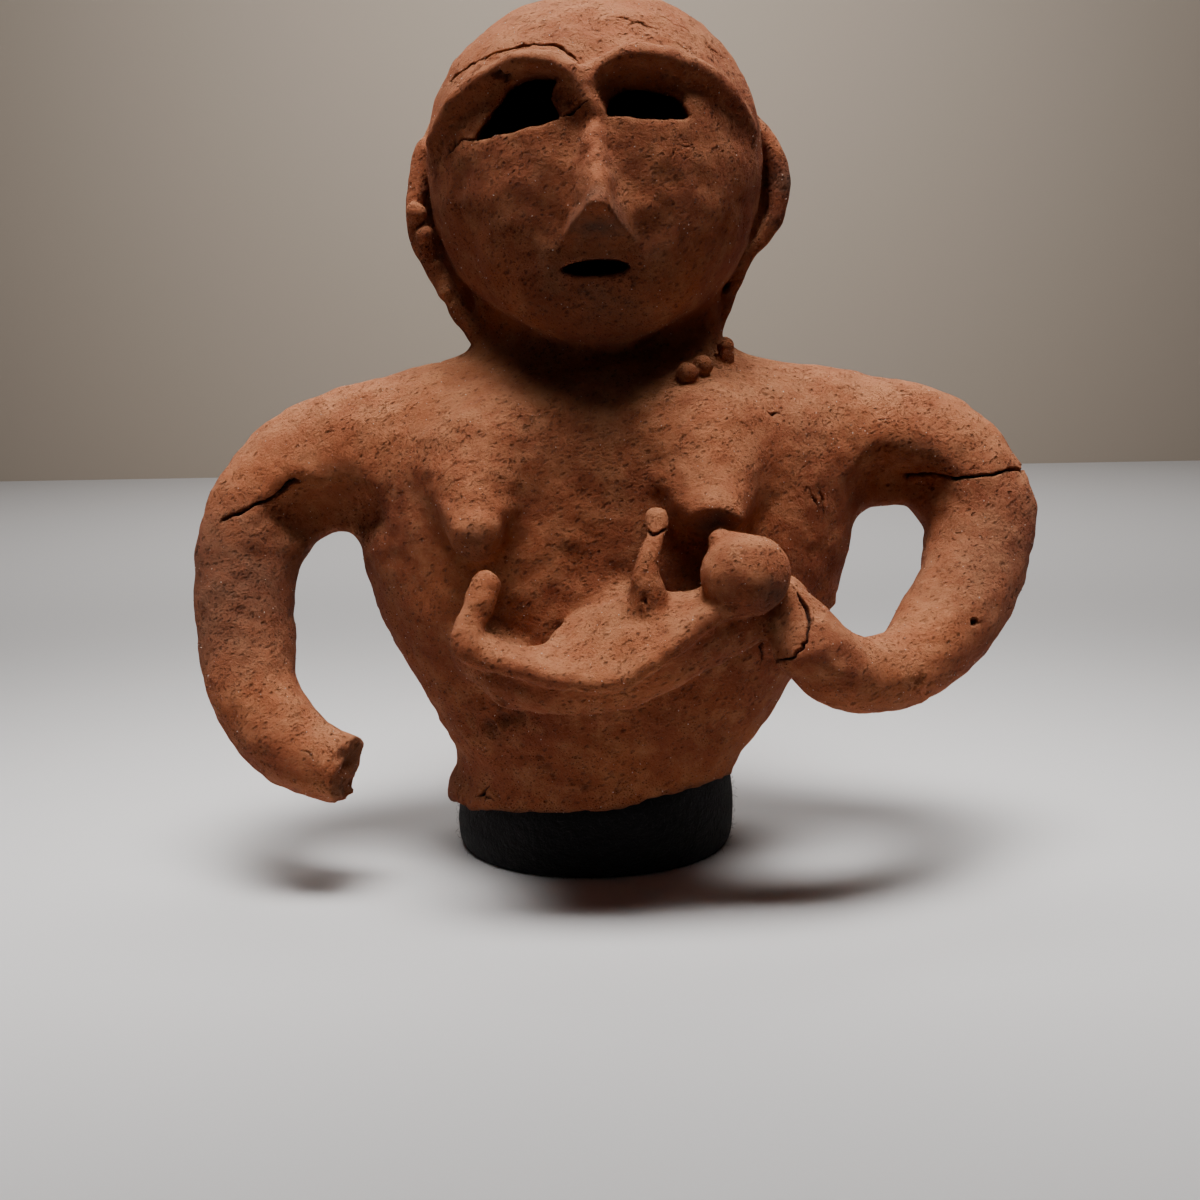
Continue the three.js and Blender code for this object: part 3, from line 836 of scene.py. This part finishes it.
class Shader(Nodes):
    """A material's node tree."""

    def __init__(self, name):
        self.material = bpy.data.materials.new(name)
        self.material.use_nodes = True
        self.tree = self.material.node_tree
        self.surface = self.tree.nodes["Principled BSDF"]
        self.place = self.add("ShaderNodeTexCoord").outputs["Object"]

    def noise(self, scale, detail, rough):
        inputs = {"Vector": self.place, "Scale": scale, "Detail": detail, "Roughness": rough}
        return self.add("ShaderNodeTexNoise", inputs).outputs["Fac"]

    def between(self, value, low, high, to_low=0.0, to_high=1.0):
        """Value spread from low..high to to_low..to_high, and held at the ends."""
        inputs = {"Value": value, "From Min": low, "From Max": high, "To Min": to_low, "To Max": to_high}
        return self.add("ShaderNodeMapRange", inputs).outputs["Result"]

    def math(self, operation, a, b):
        node = self.add("ShaderNodeMath", operation=operation)
        for socket, value in zip(node.inputs, (a, b)):
            feed(self.tree, socket, value)
        return node.outputs[0]

    def mix(self, amount, a, b):
        """A blend of two colours. A colour is a socket or three numbers."""
        node = self.add("ShaderNodeMix", data_type="RGBA")
        sockets = {socket.identifier: socket for socket in node.inputs}
        feed(self.tree, sockets["Factor_Float"], amount)
        for key, value in (("A_Color", a), ("B_Color", b)):
            is_socket = isinstance(value, bpy.types.NodeSocket)
            feed(self.tree, sockets[key], value if is_socket else (*value, 1))
        return next(s for s in node.outputs if s.identifier == "Result_Color")

    def bump(self, height, distance, normal=None):
        inputs = {"Height": height, "Distance": distance, "Strength": 1.0}
        if normal:
            inputs["Normal"] = normal
        return self.add("ShaderNodeBump", inputs).outputs["Normal"]

    def bent(self, scale, reach):
        """Object coordinates pushed to and fro by up to half of reach, in metres."""
        push = self.add("ShaderNodeTexNoise", {"Vector": self.place, "Scale": scale, "Detail": 2})
        return self.add("ShaderNodeVectorMath", {0: push.outputs["Color"], 1: (reach,) * 3, 2: self.place},
                        operation="MULTIPLY_ADD").outputs[0]

    def pits(self, sizes, turn, share, largest, seed):
        """Hollows of many sizes, one at most in each cell of the given sizes, in a share of the cells."""
        place = self.bent(1.1 / sizes[2], sizes[2] * 0.8)
        offset = self.add("ShaderNodeVectorMath", {0: place, 1: (seed,) * 3}).outputs["Vector"]
        at = self.add("ShaderNodeMapping", {"Vector": offset, "Scale": sizes, "Rotation": turn},
                      vector_type="TEXTURE").outputs["Vector"]
        cell = self.add("ShaderNodeTexVoronoi", {"Vector": at, "Scale": 1.0}).outputs
        chance = self.add("ShaderNodeSeparateColor", {"Color": cell["Color"]}).outputs
        radius = self.between(chance["Green"], 0, 1, largest * 0.25, largest)
        inside = self.math("SUBTRACT", 1.0, self.math("DIVIDE", cell["Distance"], radius))
        chosen = self.math("LESS_THAN", chance["Red"], share)
        return self.math("MULTIPLY", chosen, self.between(inside, 0, 0.8))

    def attribute(self, name):
        return self.add("ShaderNodeAttribute", attribute_name=name).outputs["Fac"]

    def set(self, **inputs):
        for key, value in inputs.items():
            feed(self.tree, self.surface.inputs[key.replace("_", " ")], value)


def fired_clay(settings):
    """Low-fired clay: orange to red-brown, sandy, and pocked where grains were dragged out of it wet. Painted
    shade darkens its pits and cracks, soot and painted shade darken it in spots, and dust and painted light
    pale its up-facing surfaces.
    """
    s = Shader("Fired clay")
    patches = s.noise(13, 5, 0.6)
    mottle = s.noise(80, 6, 0.65)
    grain = s.noise(1300, 3, 0.75)
    rough = s.noise(28, 4, 0.6)
    gouges = s.pits((0.009, 0.006, 0.0045), (0, -0.5, 0), s.between(rough, 0.35, 0.65, 0.1, 0.5), 0.3, 0.4)
    dents = s.pits((0.0034, 0.0022, 0.0019), (0, -0.6, 0.2), s.between(rough, 0.35, 0.6, 0.22, 0.85),
                   0.5, 0.1)
    pocks = s.pits((0.0017, 0.0014, 0.0012), (0.3, -0.3, 0), s.between(rough, 0.38, 0.58, 0.2, 0.85),
                   0.5, 0.7)
    # Where the pits lie: painted shade darkens the clay there.
    pit_shade_mask = s.math("MAXIMUM", gouges, s.math("MAXIMUM", dents, s.math("MULTIPLY", pocks, 0.8)))

    normal = s.add("ShaderNodeNewGeometry").outputs["Normal"]
    upward = s.add("ShaderNodeSeparateXYZ", {0: normal}).outputs["Z"]
    # Dust, and painted light: up-facing surfaces are made paler, the more so the more they face up.
    dust_and_top_light = s.math("MULTIPLY", s.between(upward, 0.0, 0.9, 0, 0.65), s.between(mottle, 0.35, 0.6, 0.5, 1))
    broken = s.attribute("broken")
    bare = s.math("MULTIPLY", broken, s.between(mottle, 0.35, 0.6, 0.3, 0.75))
    # Soot, and painted shade, in the spots listed at the top.
    soot_and_shade_amount = s.math("MULTIPLY", s.attribute("soot_and_shade"), s.between(mottle, 0.3, 0.6, 0.5, 1.1))
    colour = s.mix(s.between(patches, 0.36, 0.66), settings.red_clay, settings.orange_clay)
    for amount, layer in (
        (s.between(mottle, 0.45, 0.75, 0, 0.45), settings.pale_clay),
        # Dust and painted light on up-facing surfaces.
        (dust_and_top_light, settings.pale_clay),
        (s.between(grain, 0.62, 0.78, 0, 0.45), PALE_GRAIN),
        (s.between(grain, 0.4, 0.28, 0, 0.45), DARK_GRAIN),
        # Painted shade in the pits.
        (s.math("MULTIPLY", pit_shade_mask, 0.42), PIT_SHADE),
        (bare, BROKEN_BROWN),
        # Painted shade in the cracks and pits.
        (s.attribute("crack"), CRACK_SHADE),
        # Soot and painted shade spots.
        (soot_and_shade_amount, settings.soot_and_shade),
    ):
        colour = s.mix(amount, colour, layer)

    relief = s.bump(s.noise(125, 5, 0.62), 0.004)
    relief = s.bump(s.noise(420, 5, 0.7), s.math("ADD", s.math("MULTIPLY", broken, 0.001), 0.0028), relief)
    for hollow, depth in ((gouges, 0.0024), (dents, 0.003), (pocks, 0.0016)):
        relief = s.bump(s.math("SUBTRACT", 1.0, hollow), depth, relief)
    relief = s.bump(grain, 0.0005, relief)
    s.set(Base_Color=colour, Normal=relief, Roughness=s.between(mottle, 0.3, 0.7, 0.84, 0.97),
          Specular_IOR_Level=0.25)
    return s.material


def black_felt(settings):
    """Matt felted wool, nearly black, with a faint nap."""
    s = Shader("Black felt")
    nap = s.noise(900, 4, 0.7)
    worn = s.noise(38, 4, 0.6)
    rubbed = [c * 2.1 + 0.002 for c in settings.cloth]
    raised = [c * 3 + 0.004 for c in settings.cloth]
    colour = s.mix(s.between(worn, 0.4, 0.75, 0, 0.6), settings.cloth, rubbed)
    colour = s.mix(s.between(nap, 0.6, 0.8, 0, 0.5), colour, raised)
    relief = s.bump(nap, 0.0005, s.bump(s.noise(260, 4, 0.65), 0.0012))
    s.set(Base_Color=colour, Normal=relief, Roughness=1.0, Specular_IOR_Level=0.1, Sheen_Weight=0.12,
          Sheen_Roughness=0.6)
    return s.material


def stage_paper(colour):
    s = Shader("Stage paper")
    s.set(Base_Color=(*colour, 1), Roughness=0.95, Specular_IOR_Level=0.15)
    return s.material


# ---- The padded support ----

PAD_CORNERS = 120
# The pad's section from its foot's middle to its top's: shares of its half width and of its height.
PAD_PROFILE = [
    (0.0, 0.0), (0.55, 0.0), (0.86, 0.0), (0.925, 0.0), (0.955, 0.02), (0.975, 0.07), (0.99, 0.16),
    (0.997, 0.3), (1.0, 0.46), (0.996, 0.62), (0.99, 0.75), (0.985, 0.84), (0.975, 0.91), (0.95, 0.965),
    (0.92, 0.99), (0.885, 1.0), (0.8, 1.0), (0.68, 1.0), (0.5, 0.99), (0.25, 0.98), (0.0, 0.98),
]


def pad_mesh(settings):
    """An oval puck: a flat foot, bulging sides, a soft rounded lip, and a top pressed to the clay's edge."""
    wide, deep = settings.half_width / MM, settings.half_depth / MM
    bm = bmesh.new()
    loops = []
    for out, up in PAD_PROFILE:
        loop = []
        for j in range(PAD_CORNERS if out else 1):
            angle = 2 * math.pi * j / PAD_CORNERS
            x, y = wide * out * math.cos(angle), deep * out * math.sin(angle)
            height = float(edge_height(np.array([x]))[0]) - settings.slack / MM
            sway = noise.noise(Vector((math.cos(angle) * 2.3, math.sin(angle) * 2.3, up * 1.5)))
            pull = 1 - 0.011 * abs(sway) if up > 0.05 else 1
            loop.append(bm.verts.new(Vector((x * pull, y * pull, height * up)) * MM))
        loops.append(loop)
    for low, high in zip(loops[:-1], loops[1:]):
        for j in range(PAD_CORNERS):
            k = (j + 1) % PAD_CORNERS
            corners = [low[j % len(low)], low[k % len(low)], high[k % len(high)], high[j % len(high)]]
            bm.faces.new(list(dict.fromkeys(corners)))
    bmesh.ops.recalc_face_normals(bm, faces=bm.faces)
    mesh = bpy.data.meshes.new("padded_support_cloth")
    bm.to_mesh(mesh)
    bm.free()
    return mesh


# ---- Geometry Nodes ----


class Growth(Nodes):
    """A Geometry Nodes tree that scatters one small piece over a surface."""

    def __init__(self, name, inputs):
        self.tree = bpy.data.node_groups.new(name, "GeometryNodeTree")
        face = self.tree.interface
        face.new_socket("Geometry", in_out="INPUT", socket_type="NodeSocketGeometry")
        self.identifiers = {}
        for label, kind, value in inputs:
            socket = face.new_socket(label, in_out="INPUT", socket_type=kind)
            socket.default_value = value
            self.identifiers[label] = socket.identifier
        face.new_socket("Geometry", in_out="OUTPUT", socket_type="NodeSocketGeometry")
        self.given = self.tree.nodes.new("NodeGroupInput").outputs
        self.result = self.tree.nodes.new("NodeGroupOutput").inputs

    def scattered(self):
        """Points spread over the surface, each with the turn that stands it upright there."""
        return self.add("GeometryNodeDistributePointsOnFaces",
                        {"Mesh": self.given["Geometry"], "Density": self.given["Density"],
                         "Seed": self.given["Seed"]}).outputs

    def random_turn(self, most):
        limits = {"Min": (0, 0, 0), "Max": most, "Seed": self.given["Seed"]}
        return self.add("FunctionNodeRandomValue", limits, data_type="FLOAT_VECTOR").outputs["Value"]

    def random_size(self, low, high):
        node = self.add("FunctionNodeRandomValue", {"Seed": self.given["Seed"]}, data_type="FLOAT")
        feed(self.tree, node.inputs[2], low)
        feed(self.tree, node.inputs[3], high)
        return node.outputs[1]

    def evenly(self, value):
        """The same value in x, y and z."""
        return self.add("ShaderNodeCombineXYZ", {"X": value, "Y": value, "Z": value}).outputs["Vector"]

    def end(self, points, piece, turn, size, material):
        """Puts the piece at the points, and makes the result plain mesh with its material."""
        placed = self.add("GeometryNodeInstanceOnPoints",
                          {"Points": points, "Instance": piece, "Rotation": turn, "Scale": self.evenly(size)})
        real = self.add("GeometryNodeRealizeInstances", {"Geometry": placed.outputs["Instances"]}).outputs[0]
        named = self.add("GeometryNodeSetMaterial", {"Geometry": real, "Material": material}).outputs[0]
        self.tree.links.new(named, self.result["Geometry"])

    def grow_on(self, source, name, values):
        """Runs the tree on a copy of the source's mesh and returns the result as a plain object."""
        holder = bpy.data.objects.new(name, source.data.copy())
        bpy.context.collection.objects.link(holder)
        modifier = holder.modifiers.new("Growth", "NODES")
        modifier.node_group = self.tree
        for label, value in values.items():
            modifier[self.identifiers[label]] = value
        apply_modifiers(holder)
        return holder


def fibre_tree(material):
    """Short curved fibres standing on a felted surface."""
    g = Growth("Felt fibres", [
        ("Density", "NodeSocketFloat", 1.0),
        ("Length", "NodeSocketFloat", 0.003),
        ("Thickness", "NodeSocketFloat", 0.00006),
        ("Seed", "NodeSocketInt", 4),
    ])
    scatter = g.scattered()
    line = g.add("GeometryNodeCurveQuadraticBezier",
                 {"Resolution": 3, "Start": (0, 0, -0.1), "Middle": (0.1, 0.05, 0.6), "End": (0.7, 0.2, 1.0)})
    straw = g.add("GeometryNodeCurvePrimitiveCircle", {"Resolution": 3, "Radius": 1.0}, mode="RADIUS")
    thin = g.add("ShaderNodeMath", {0: g.given["Thickness"], 1: g.given["Length"]}, operation="DIVIDE")
    narrow = g.add("GeometryNodeTransform",
                   {"Geometry": straw.outputs["Curve"], "Scale": g.evenly(thin.outputs[0])})
    fibre = g.add("GeometryNodeCurveToMesh",
                  {"Curve": line.outputs["Curve"], "Profile Curve": narrow.outputs["Geometry"]})
    lean = g.add("FunctionNodeRotateRotation",
                 {"Rotation": scatter["Rotation"], "Rotate By": g.random_turn((0.9, 0.9, 6.28))},
                 rotation_space="LOCAL")
    long = g.add("ShaderNodeMath", {0: g.random_size(0.35, 1.0), 1: g.given["Length"]}, operation="MULTIPLY")
    g.end(scatter["Points"], fibre.outputs["Mesh"], lean.outputs["Rotation"], long.outputs[0], material)
    return g


def grit_tree(material):
    """Angular sand grains half sunk in the clay's surface."""
    g = Growth("Clay grit", [
        ("Density", "NodeSocketFloat", 1.0),
        ("Smallest", "NodeSocketFloat", 0.0002),
        ("Largest", "NodeSocketFloat", 0.00045),
        ("Seed", "NodeSocketInt", 9),
    ])
    ball = g.add("GeometryNodeMeshIcoSphere", {"Radius": 1.0, "Subdivisions": 1}).outputs["Mesh"]
    grain = g.add("GeometryNodeTransform", {"Geometry": ball, "Scale": (1.0, 0.7, 0.6)}).outputs["Geometry"]
    size = g.random_size(g.given["Smallest"], g.given["Largest"])
    g.end(g.scattered()["Points"], grain, g.random_turn((6.28, 6.28, 6.28)), size, material)
    return g


def sand_grain(settings):
    """Pale quartz and dark mineral grains in the clay."""
    s = Shader("Sand grain")
    kind = s.noise(700, 1, 0.5)
    colour = s.mix(s.between(kind, 0.42, 0.5), (0.1, 0.04, 0.022), settings.orange_clay)
    colour = s.mix(s.between(kind, 0.5, 0.56), colour, (0.66, 0.47, 0.36))
    s.set(Base_Color=colour, Roughness=0.55)
    return s.material


# ---- What a user can change ----


class HaniwaClaySettings(bpy.types.PropertyGroup):
    """Sizes and colours of the clay figure"""

    wall: FloatProperty(name="Wall", description="Thickness of the hollow clay's wall", default=11 * MM,
                        unit="LENGTH")
    step: FloatProperty(name="Step", description="Spacing of the grid that the clay is worked on",
                        default=1.25 * MM, unit="LENGTH")
    triangles: IntProperty(name="Triangles", description="Triangles kept before the cracks are cut",
                           default=150000)
    grit: FloatProperty(name="Grit", description="Sand grains on a square metre of clay", default=16000)
    red_clay: FloatVectorProperty(name="Red clay", description="The redder, darker clay", subtype="COLOR",
                                  default=(0.25, 0.052, 0.018))
    orange_clay: FloatVectorProperty(name="Orange clay", description="The lighter clay", subtype="COLOR",
                                     default=(0.44, 0.118, 0.042))
    # Also the colour of the dust and painted light on up-facing surfaces.
    pale_clay: FloatVectorProperty(name="Pale clay", description="Dry and dusty clay", subtype="COLOR",
                                   default=(0.62, 0.265, 0.125))
    # Also the colour of the painted shade under the nose, on the chin, on the upper arms and in the armpits.
    soot_and_shade: FloatVectorProperty(name="Soot", description="Dark spots from the firing", subtype="COLOR",
                              default=(0.05, 0.035, 0.028))


class HaniwaPadSettings(bpy.types.PropertyGroup):
    """Sizes and colour of the padded support"""

    half_width: FloatProperty(name="Half width", description="Half of the pad's width",
                              default=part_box("padded_support")[1][0], unit="LENGTH")
    half_depth: FloatProperty(name="Half depth", description="Half of the pad's depth",
                              default=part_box("padded_support")[1][1], unit="LENGTH")
    slack: FloatProperty(name="Slack", description="Space between the pad and the clay's edge",
                         default=0.5 * MM, unit="LENGTH")
    fuzz: FloatProperty(name="Fuzz", description="Loose fibres on a square metre of felt", default=110000)
    fuzz_length: FloatProperty(name="Fuzz length", description="Length of the longest loose fibre",
                               default=3.2 * MM, unit="LENGTH")
    cloth: FloatVectorProperty(name="Cloth", description="The felt's colour", subtype="COLOR",
                               default=(0.0055, 0.0045, 0.005))


class HaniwaStageSettings(bpy.types.PropertyGroup):
    """The plain floor, the lights and the camera"""

    floor: FloatVectorProperty(name="Floor", description="The floor's colour", subtype="COLOR",
                               default=(0.62, 0.6, 0.59))
    wall: FloatVectorProperty(name="Wall", description="The backdrop's colour", subtype="COLOR",
                              default=(0.42, 0.35, 0.285))
    sky: FloatVectorProperty(name="Sky", description="The light from all round", subtype="COLOR",
                             default=(0.5, 0.47, 0.44))
    sky_strength: FloatProperty(name="Sky strength", description="How strong the light from all round is",
                                default=0.012)
    key: FloatProperty(name="Key light", description="Power of the soft light overhead", default=3.4,
                       unit="POWER")
    fill: FloatProperty(name="Fill light", description="Power of the soft light in front", default=0.22,
                        unit="POWER")
    wash: FloatProperty(name="Wall light", description="Power of the soft light on the backdrop", default=37,
                        unit="POWER")
    lens: FloatProperty(name="Lens", description="The camera's focal length", default=36.9, unit="CAMERA")


# ---- Operators ----


def place_in_scene(mesh, name, material, smooth=True):
    obj = bpy.data.objects.new(name, mesh)
    bpy.context.collection.objects.link(obj)
    mesh.materials.clear()
    mesh.materials.append(material)
    if smooth:
        mesh.shade_smooth()
    return obj


class HANIWA_OT_figure(bpy.types.Operator):
    """Works the clay figure: form, hollow, openings, infant, cracks, pits and grit"""

    bl_idname = "haniwa.figure"
    bl_label = "Nursing figure"

    def execute(self, context):
        settings = context.scene.haniwa_clay
        low, high = (np.array(corner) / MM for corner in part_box("nursing_figure"))
        block = ClayBlock(low - 6, high + 6, settings.step / MM)
        work_outside(block)
        swell_surface(block, BROAD_SWELLS)
        cut_openings(block, settings.wall / MM)
        add_infant(block)
        swell_surface(block, FINE_SWELLS)
        break_waist(block)
        mesh = mesh_of(block, "nursing_figure_clay")
        keep_largest(mesh)
        material = fired_clay(settings)
        figure = place_in_scene(mesh, "nursing_figure_clay", material)
        thin_out(figure, settings.triangles)
        damage = Damage(figure.data)
        damage.draw()
        damage.refine((3.0, 2.0, 1.3))
        inside = damage.press()
        damage.finish(figure.data)
        points = vertices_of(figure.data)
        # Painted shade in the cracks and pits, for the material.
        note(figure.data, "crack", inside)
        # Soot and painted shade spots, for the material.
        note(figure.data, "soot_and_shade", soot_and_shade_on(points))
        note(figure.data, "broken", broken_on(points))
        figure.data.shade_smooth()
        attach(figure, "root")
        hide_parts("nursing_figure")

        grit = grit_tree(sand_grain(settings)).grow_on(figure, "clay_grit", {"Density": settings.grit})
        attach(grit, "root")
        return {"FINISHED"}


class HANIWA_OT_pad(bpy.types.Operator):
    """Makes the oval padded support and the loose fibres on its felt"""

    bl_idname = "haniwa.pad"
    bl_label = "Padded support"

    def execute(self, context):
        settings = context.scene.haniwa_pad
        felt = black_felt(settings)
        pad = place_in_scene(pad_mesh(settings), "padded_support_cloth", felt)
        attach(pad, "root")
        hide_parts("padded_support")

        fuzz = fibre_tree(felt).grow_on(pad, "felt_fibres",
                                        {"Density": settings.fuzz, "Length": settings.fuzz_length})
        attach(fuzz, "root")
        return {"FINISHED"}


# The room, in metres: how far it reaches to each side, in front and behind, and the backdrop's height.
ROOM_SIDE, ROOM_FRONT, ROOM_BACK, ROOM_TOP = 6, -4, 2.2, 4
# Each light's size, its place, the place it points at and the angle it spreads over.
KEY_LIGHT = ((1.0, 0.3), (0, -0.19, 1.15), (0, -0.04, 0.2), 50)
FILL_LIGHT = ((1.0, 0.5), (0, -1.0, 1.15), (0, 0, 0.2), 180)
WALL_LIGHT = ((1.0, 1.0), (0, 0.7, 1.6), (0, 2.2, 0.3), 180)
CAMERA_PLACE = (0.004, -0.59, 0.235)
CAMERA_DIP, CAMERA_ROLL = 10.8, -1.0


class HANIWA_OT_stage(bpy.types.Operator):
    """Sets a plain pale floor, soft studio lights and the camera"""

    bl_idname = "haniwa.stage"
    bl_label = "Stage"

    def execute(self, context):
        settings = context.scene.haniwa_stage
        self.lay_floor(settings)
        self.light("Key", settings.key, *KEY_LIGHT)
        self.light("Fill", settings.fill, *FILL_LIGHT)
        self.light("Wall wash", settings.wash, *WALL_LIGHT)
        world = bpy.data.worlds.new("Studio")
        world.use_nodes = True
        sky = world.node_tree.nodes["Background"]
        sky.inputs["Color"].default_value = (*settings.sky, 1)
        sky.inputs["Strength"].default_value = settings.sky_strength
        context.scene.world = world
        self.set_camera(context, settings)
        return {"FINISHED"}

    def lay_floor(self, settings):
        front = [(-ROOM_SIDE, ROOM_FRONT, 0), (ROOM_SIDE, ROOM_FRONT, 0)]
        foot = [(-ROOM_SIDE, ROOM_BACK, 0), (ROOM_SIDE, ROOM_BACK, 0)]
        head = [(-ROOM_SIDE, ROOM_BACK, ROOM_TOP), (ROOM_SIDE, ROOM_BACK, ROOM_TOP)]
        floor = self.sheet("floor", front + foot[::-1], settings.floor)
        wall = self.sheet("backdrop", foot + head[::-1], settings.wall)

    def sheet(self, name, corners, colour):
        mesh = bpy.data.meshes.new(name)
        mesh.from_pydata(corners, [], [(0, 1, 2, 3)])
        return place_in_scene(mesh, name, stage_paper(colour), smooth=False)

    def light(self, name, power, size, place, target, spread):
        lamp = bpy.data.lights.new(name, "AREA")
        lamp.spread = math.radians(spread)
        lamp.energy, lamp.shape = power, "RECTANGLE"
        lamp.size, lamp.size_y = size
        holder = bpy.data.objects.new(name, lamp)
        bpy.context.collection.objects.link(holder)
        holder.location = place
        holder.rotation_euler = (Vector(target) - Vector(place)).to_track_quat("-Z", "Y").to_euler()

    def set_camera(self, context, settings):
        """Eye level with the chest, close in front, tipped a little down and to one side."""
        camera = bpy.data.cameras.new("Camera")
        camera.lens, camera.sensor_width = settings.lens, 36.0
        holder = bpy.data.objects.new("Camera", camera)
        context.collection.objects.link(holder)
        holder.location = CAMERA_PLACE
        holder.rotation_euler = (math.radians(90 - CAMERA_DIP), 0, 0)
        holder.rotation_euler.rotate_axis("Z", math.radians(CAMERA_ROLL))
        context.scene.camera = holder


class HANIWA_PT_panel(bpy.types.Panel):
    """Lists the pieces of the haniwa, with their settings"""

    bl_idname = "HANIWA_PT_panel"
    bl_label = "Haniwa"
    bl_space_type = "VIEW_3D"
    bl_region_type = "UI"
    bl_category = "Haniwa"

    def draw(self, context):
        for operator, group in (("haniwa.figure", "haniwa_clay"), ("haniwa.pad", "haniwa_pad"),
                                ("haniwa.stage", "haniwa_stage")):
            box = self.layout.box()
            box.operator(operator)
            settings = getattr(context.scene, group)
            for name in settings.__annotations__:
                box.prop(settings, name)


# ---- Running ----

CLASSES = (HaniwaClaySettings, HaniwaPadSettings, HaniwaStageSettings, HANIWA_OT_figure, HANIWA_OT_pad,
           HANIWA_OT_stage, HANIWA_PT_panel)


def register():
    for cls in CLASSES:
        bpy.utils.register_class(cls)
    bpy.types.Scene.haniwa_clay = PointerProperty(type=HaniwaClaySettings)
    bpy.types.Scene.haniwa_pad = PointerProperty(type=HaniwaPadSettings)
    bpy.types.Scene.haniwa_stage = PointerProperty(type=HaniwaStageSettings)


def unregister():
    del bpy.types.Scene.haniwa_clay, bpy.types.Scene.haniwa_pad, bpy.types.Scene.haniwa_stage
    for cls in reversed(CLASSES):
        bpy.utils.unregister_class(cls)


def main():
    register()
    bpy.ops.haniwa.stage()
    bpy.ops.haniwa.figure()
    bpy.ops.haniwa.pad()


if __name__ == "__main__":
    main()
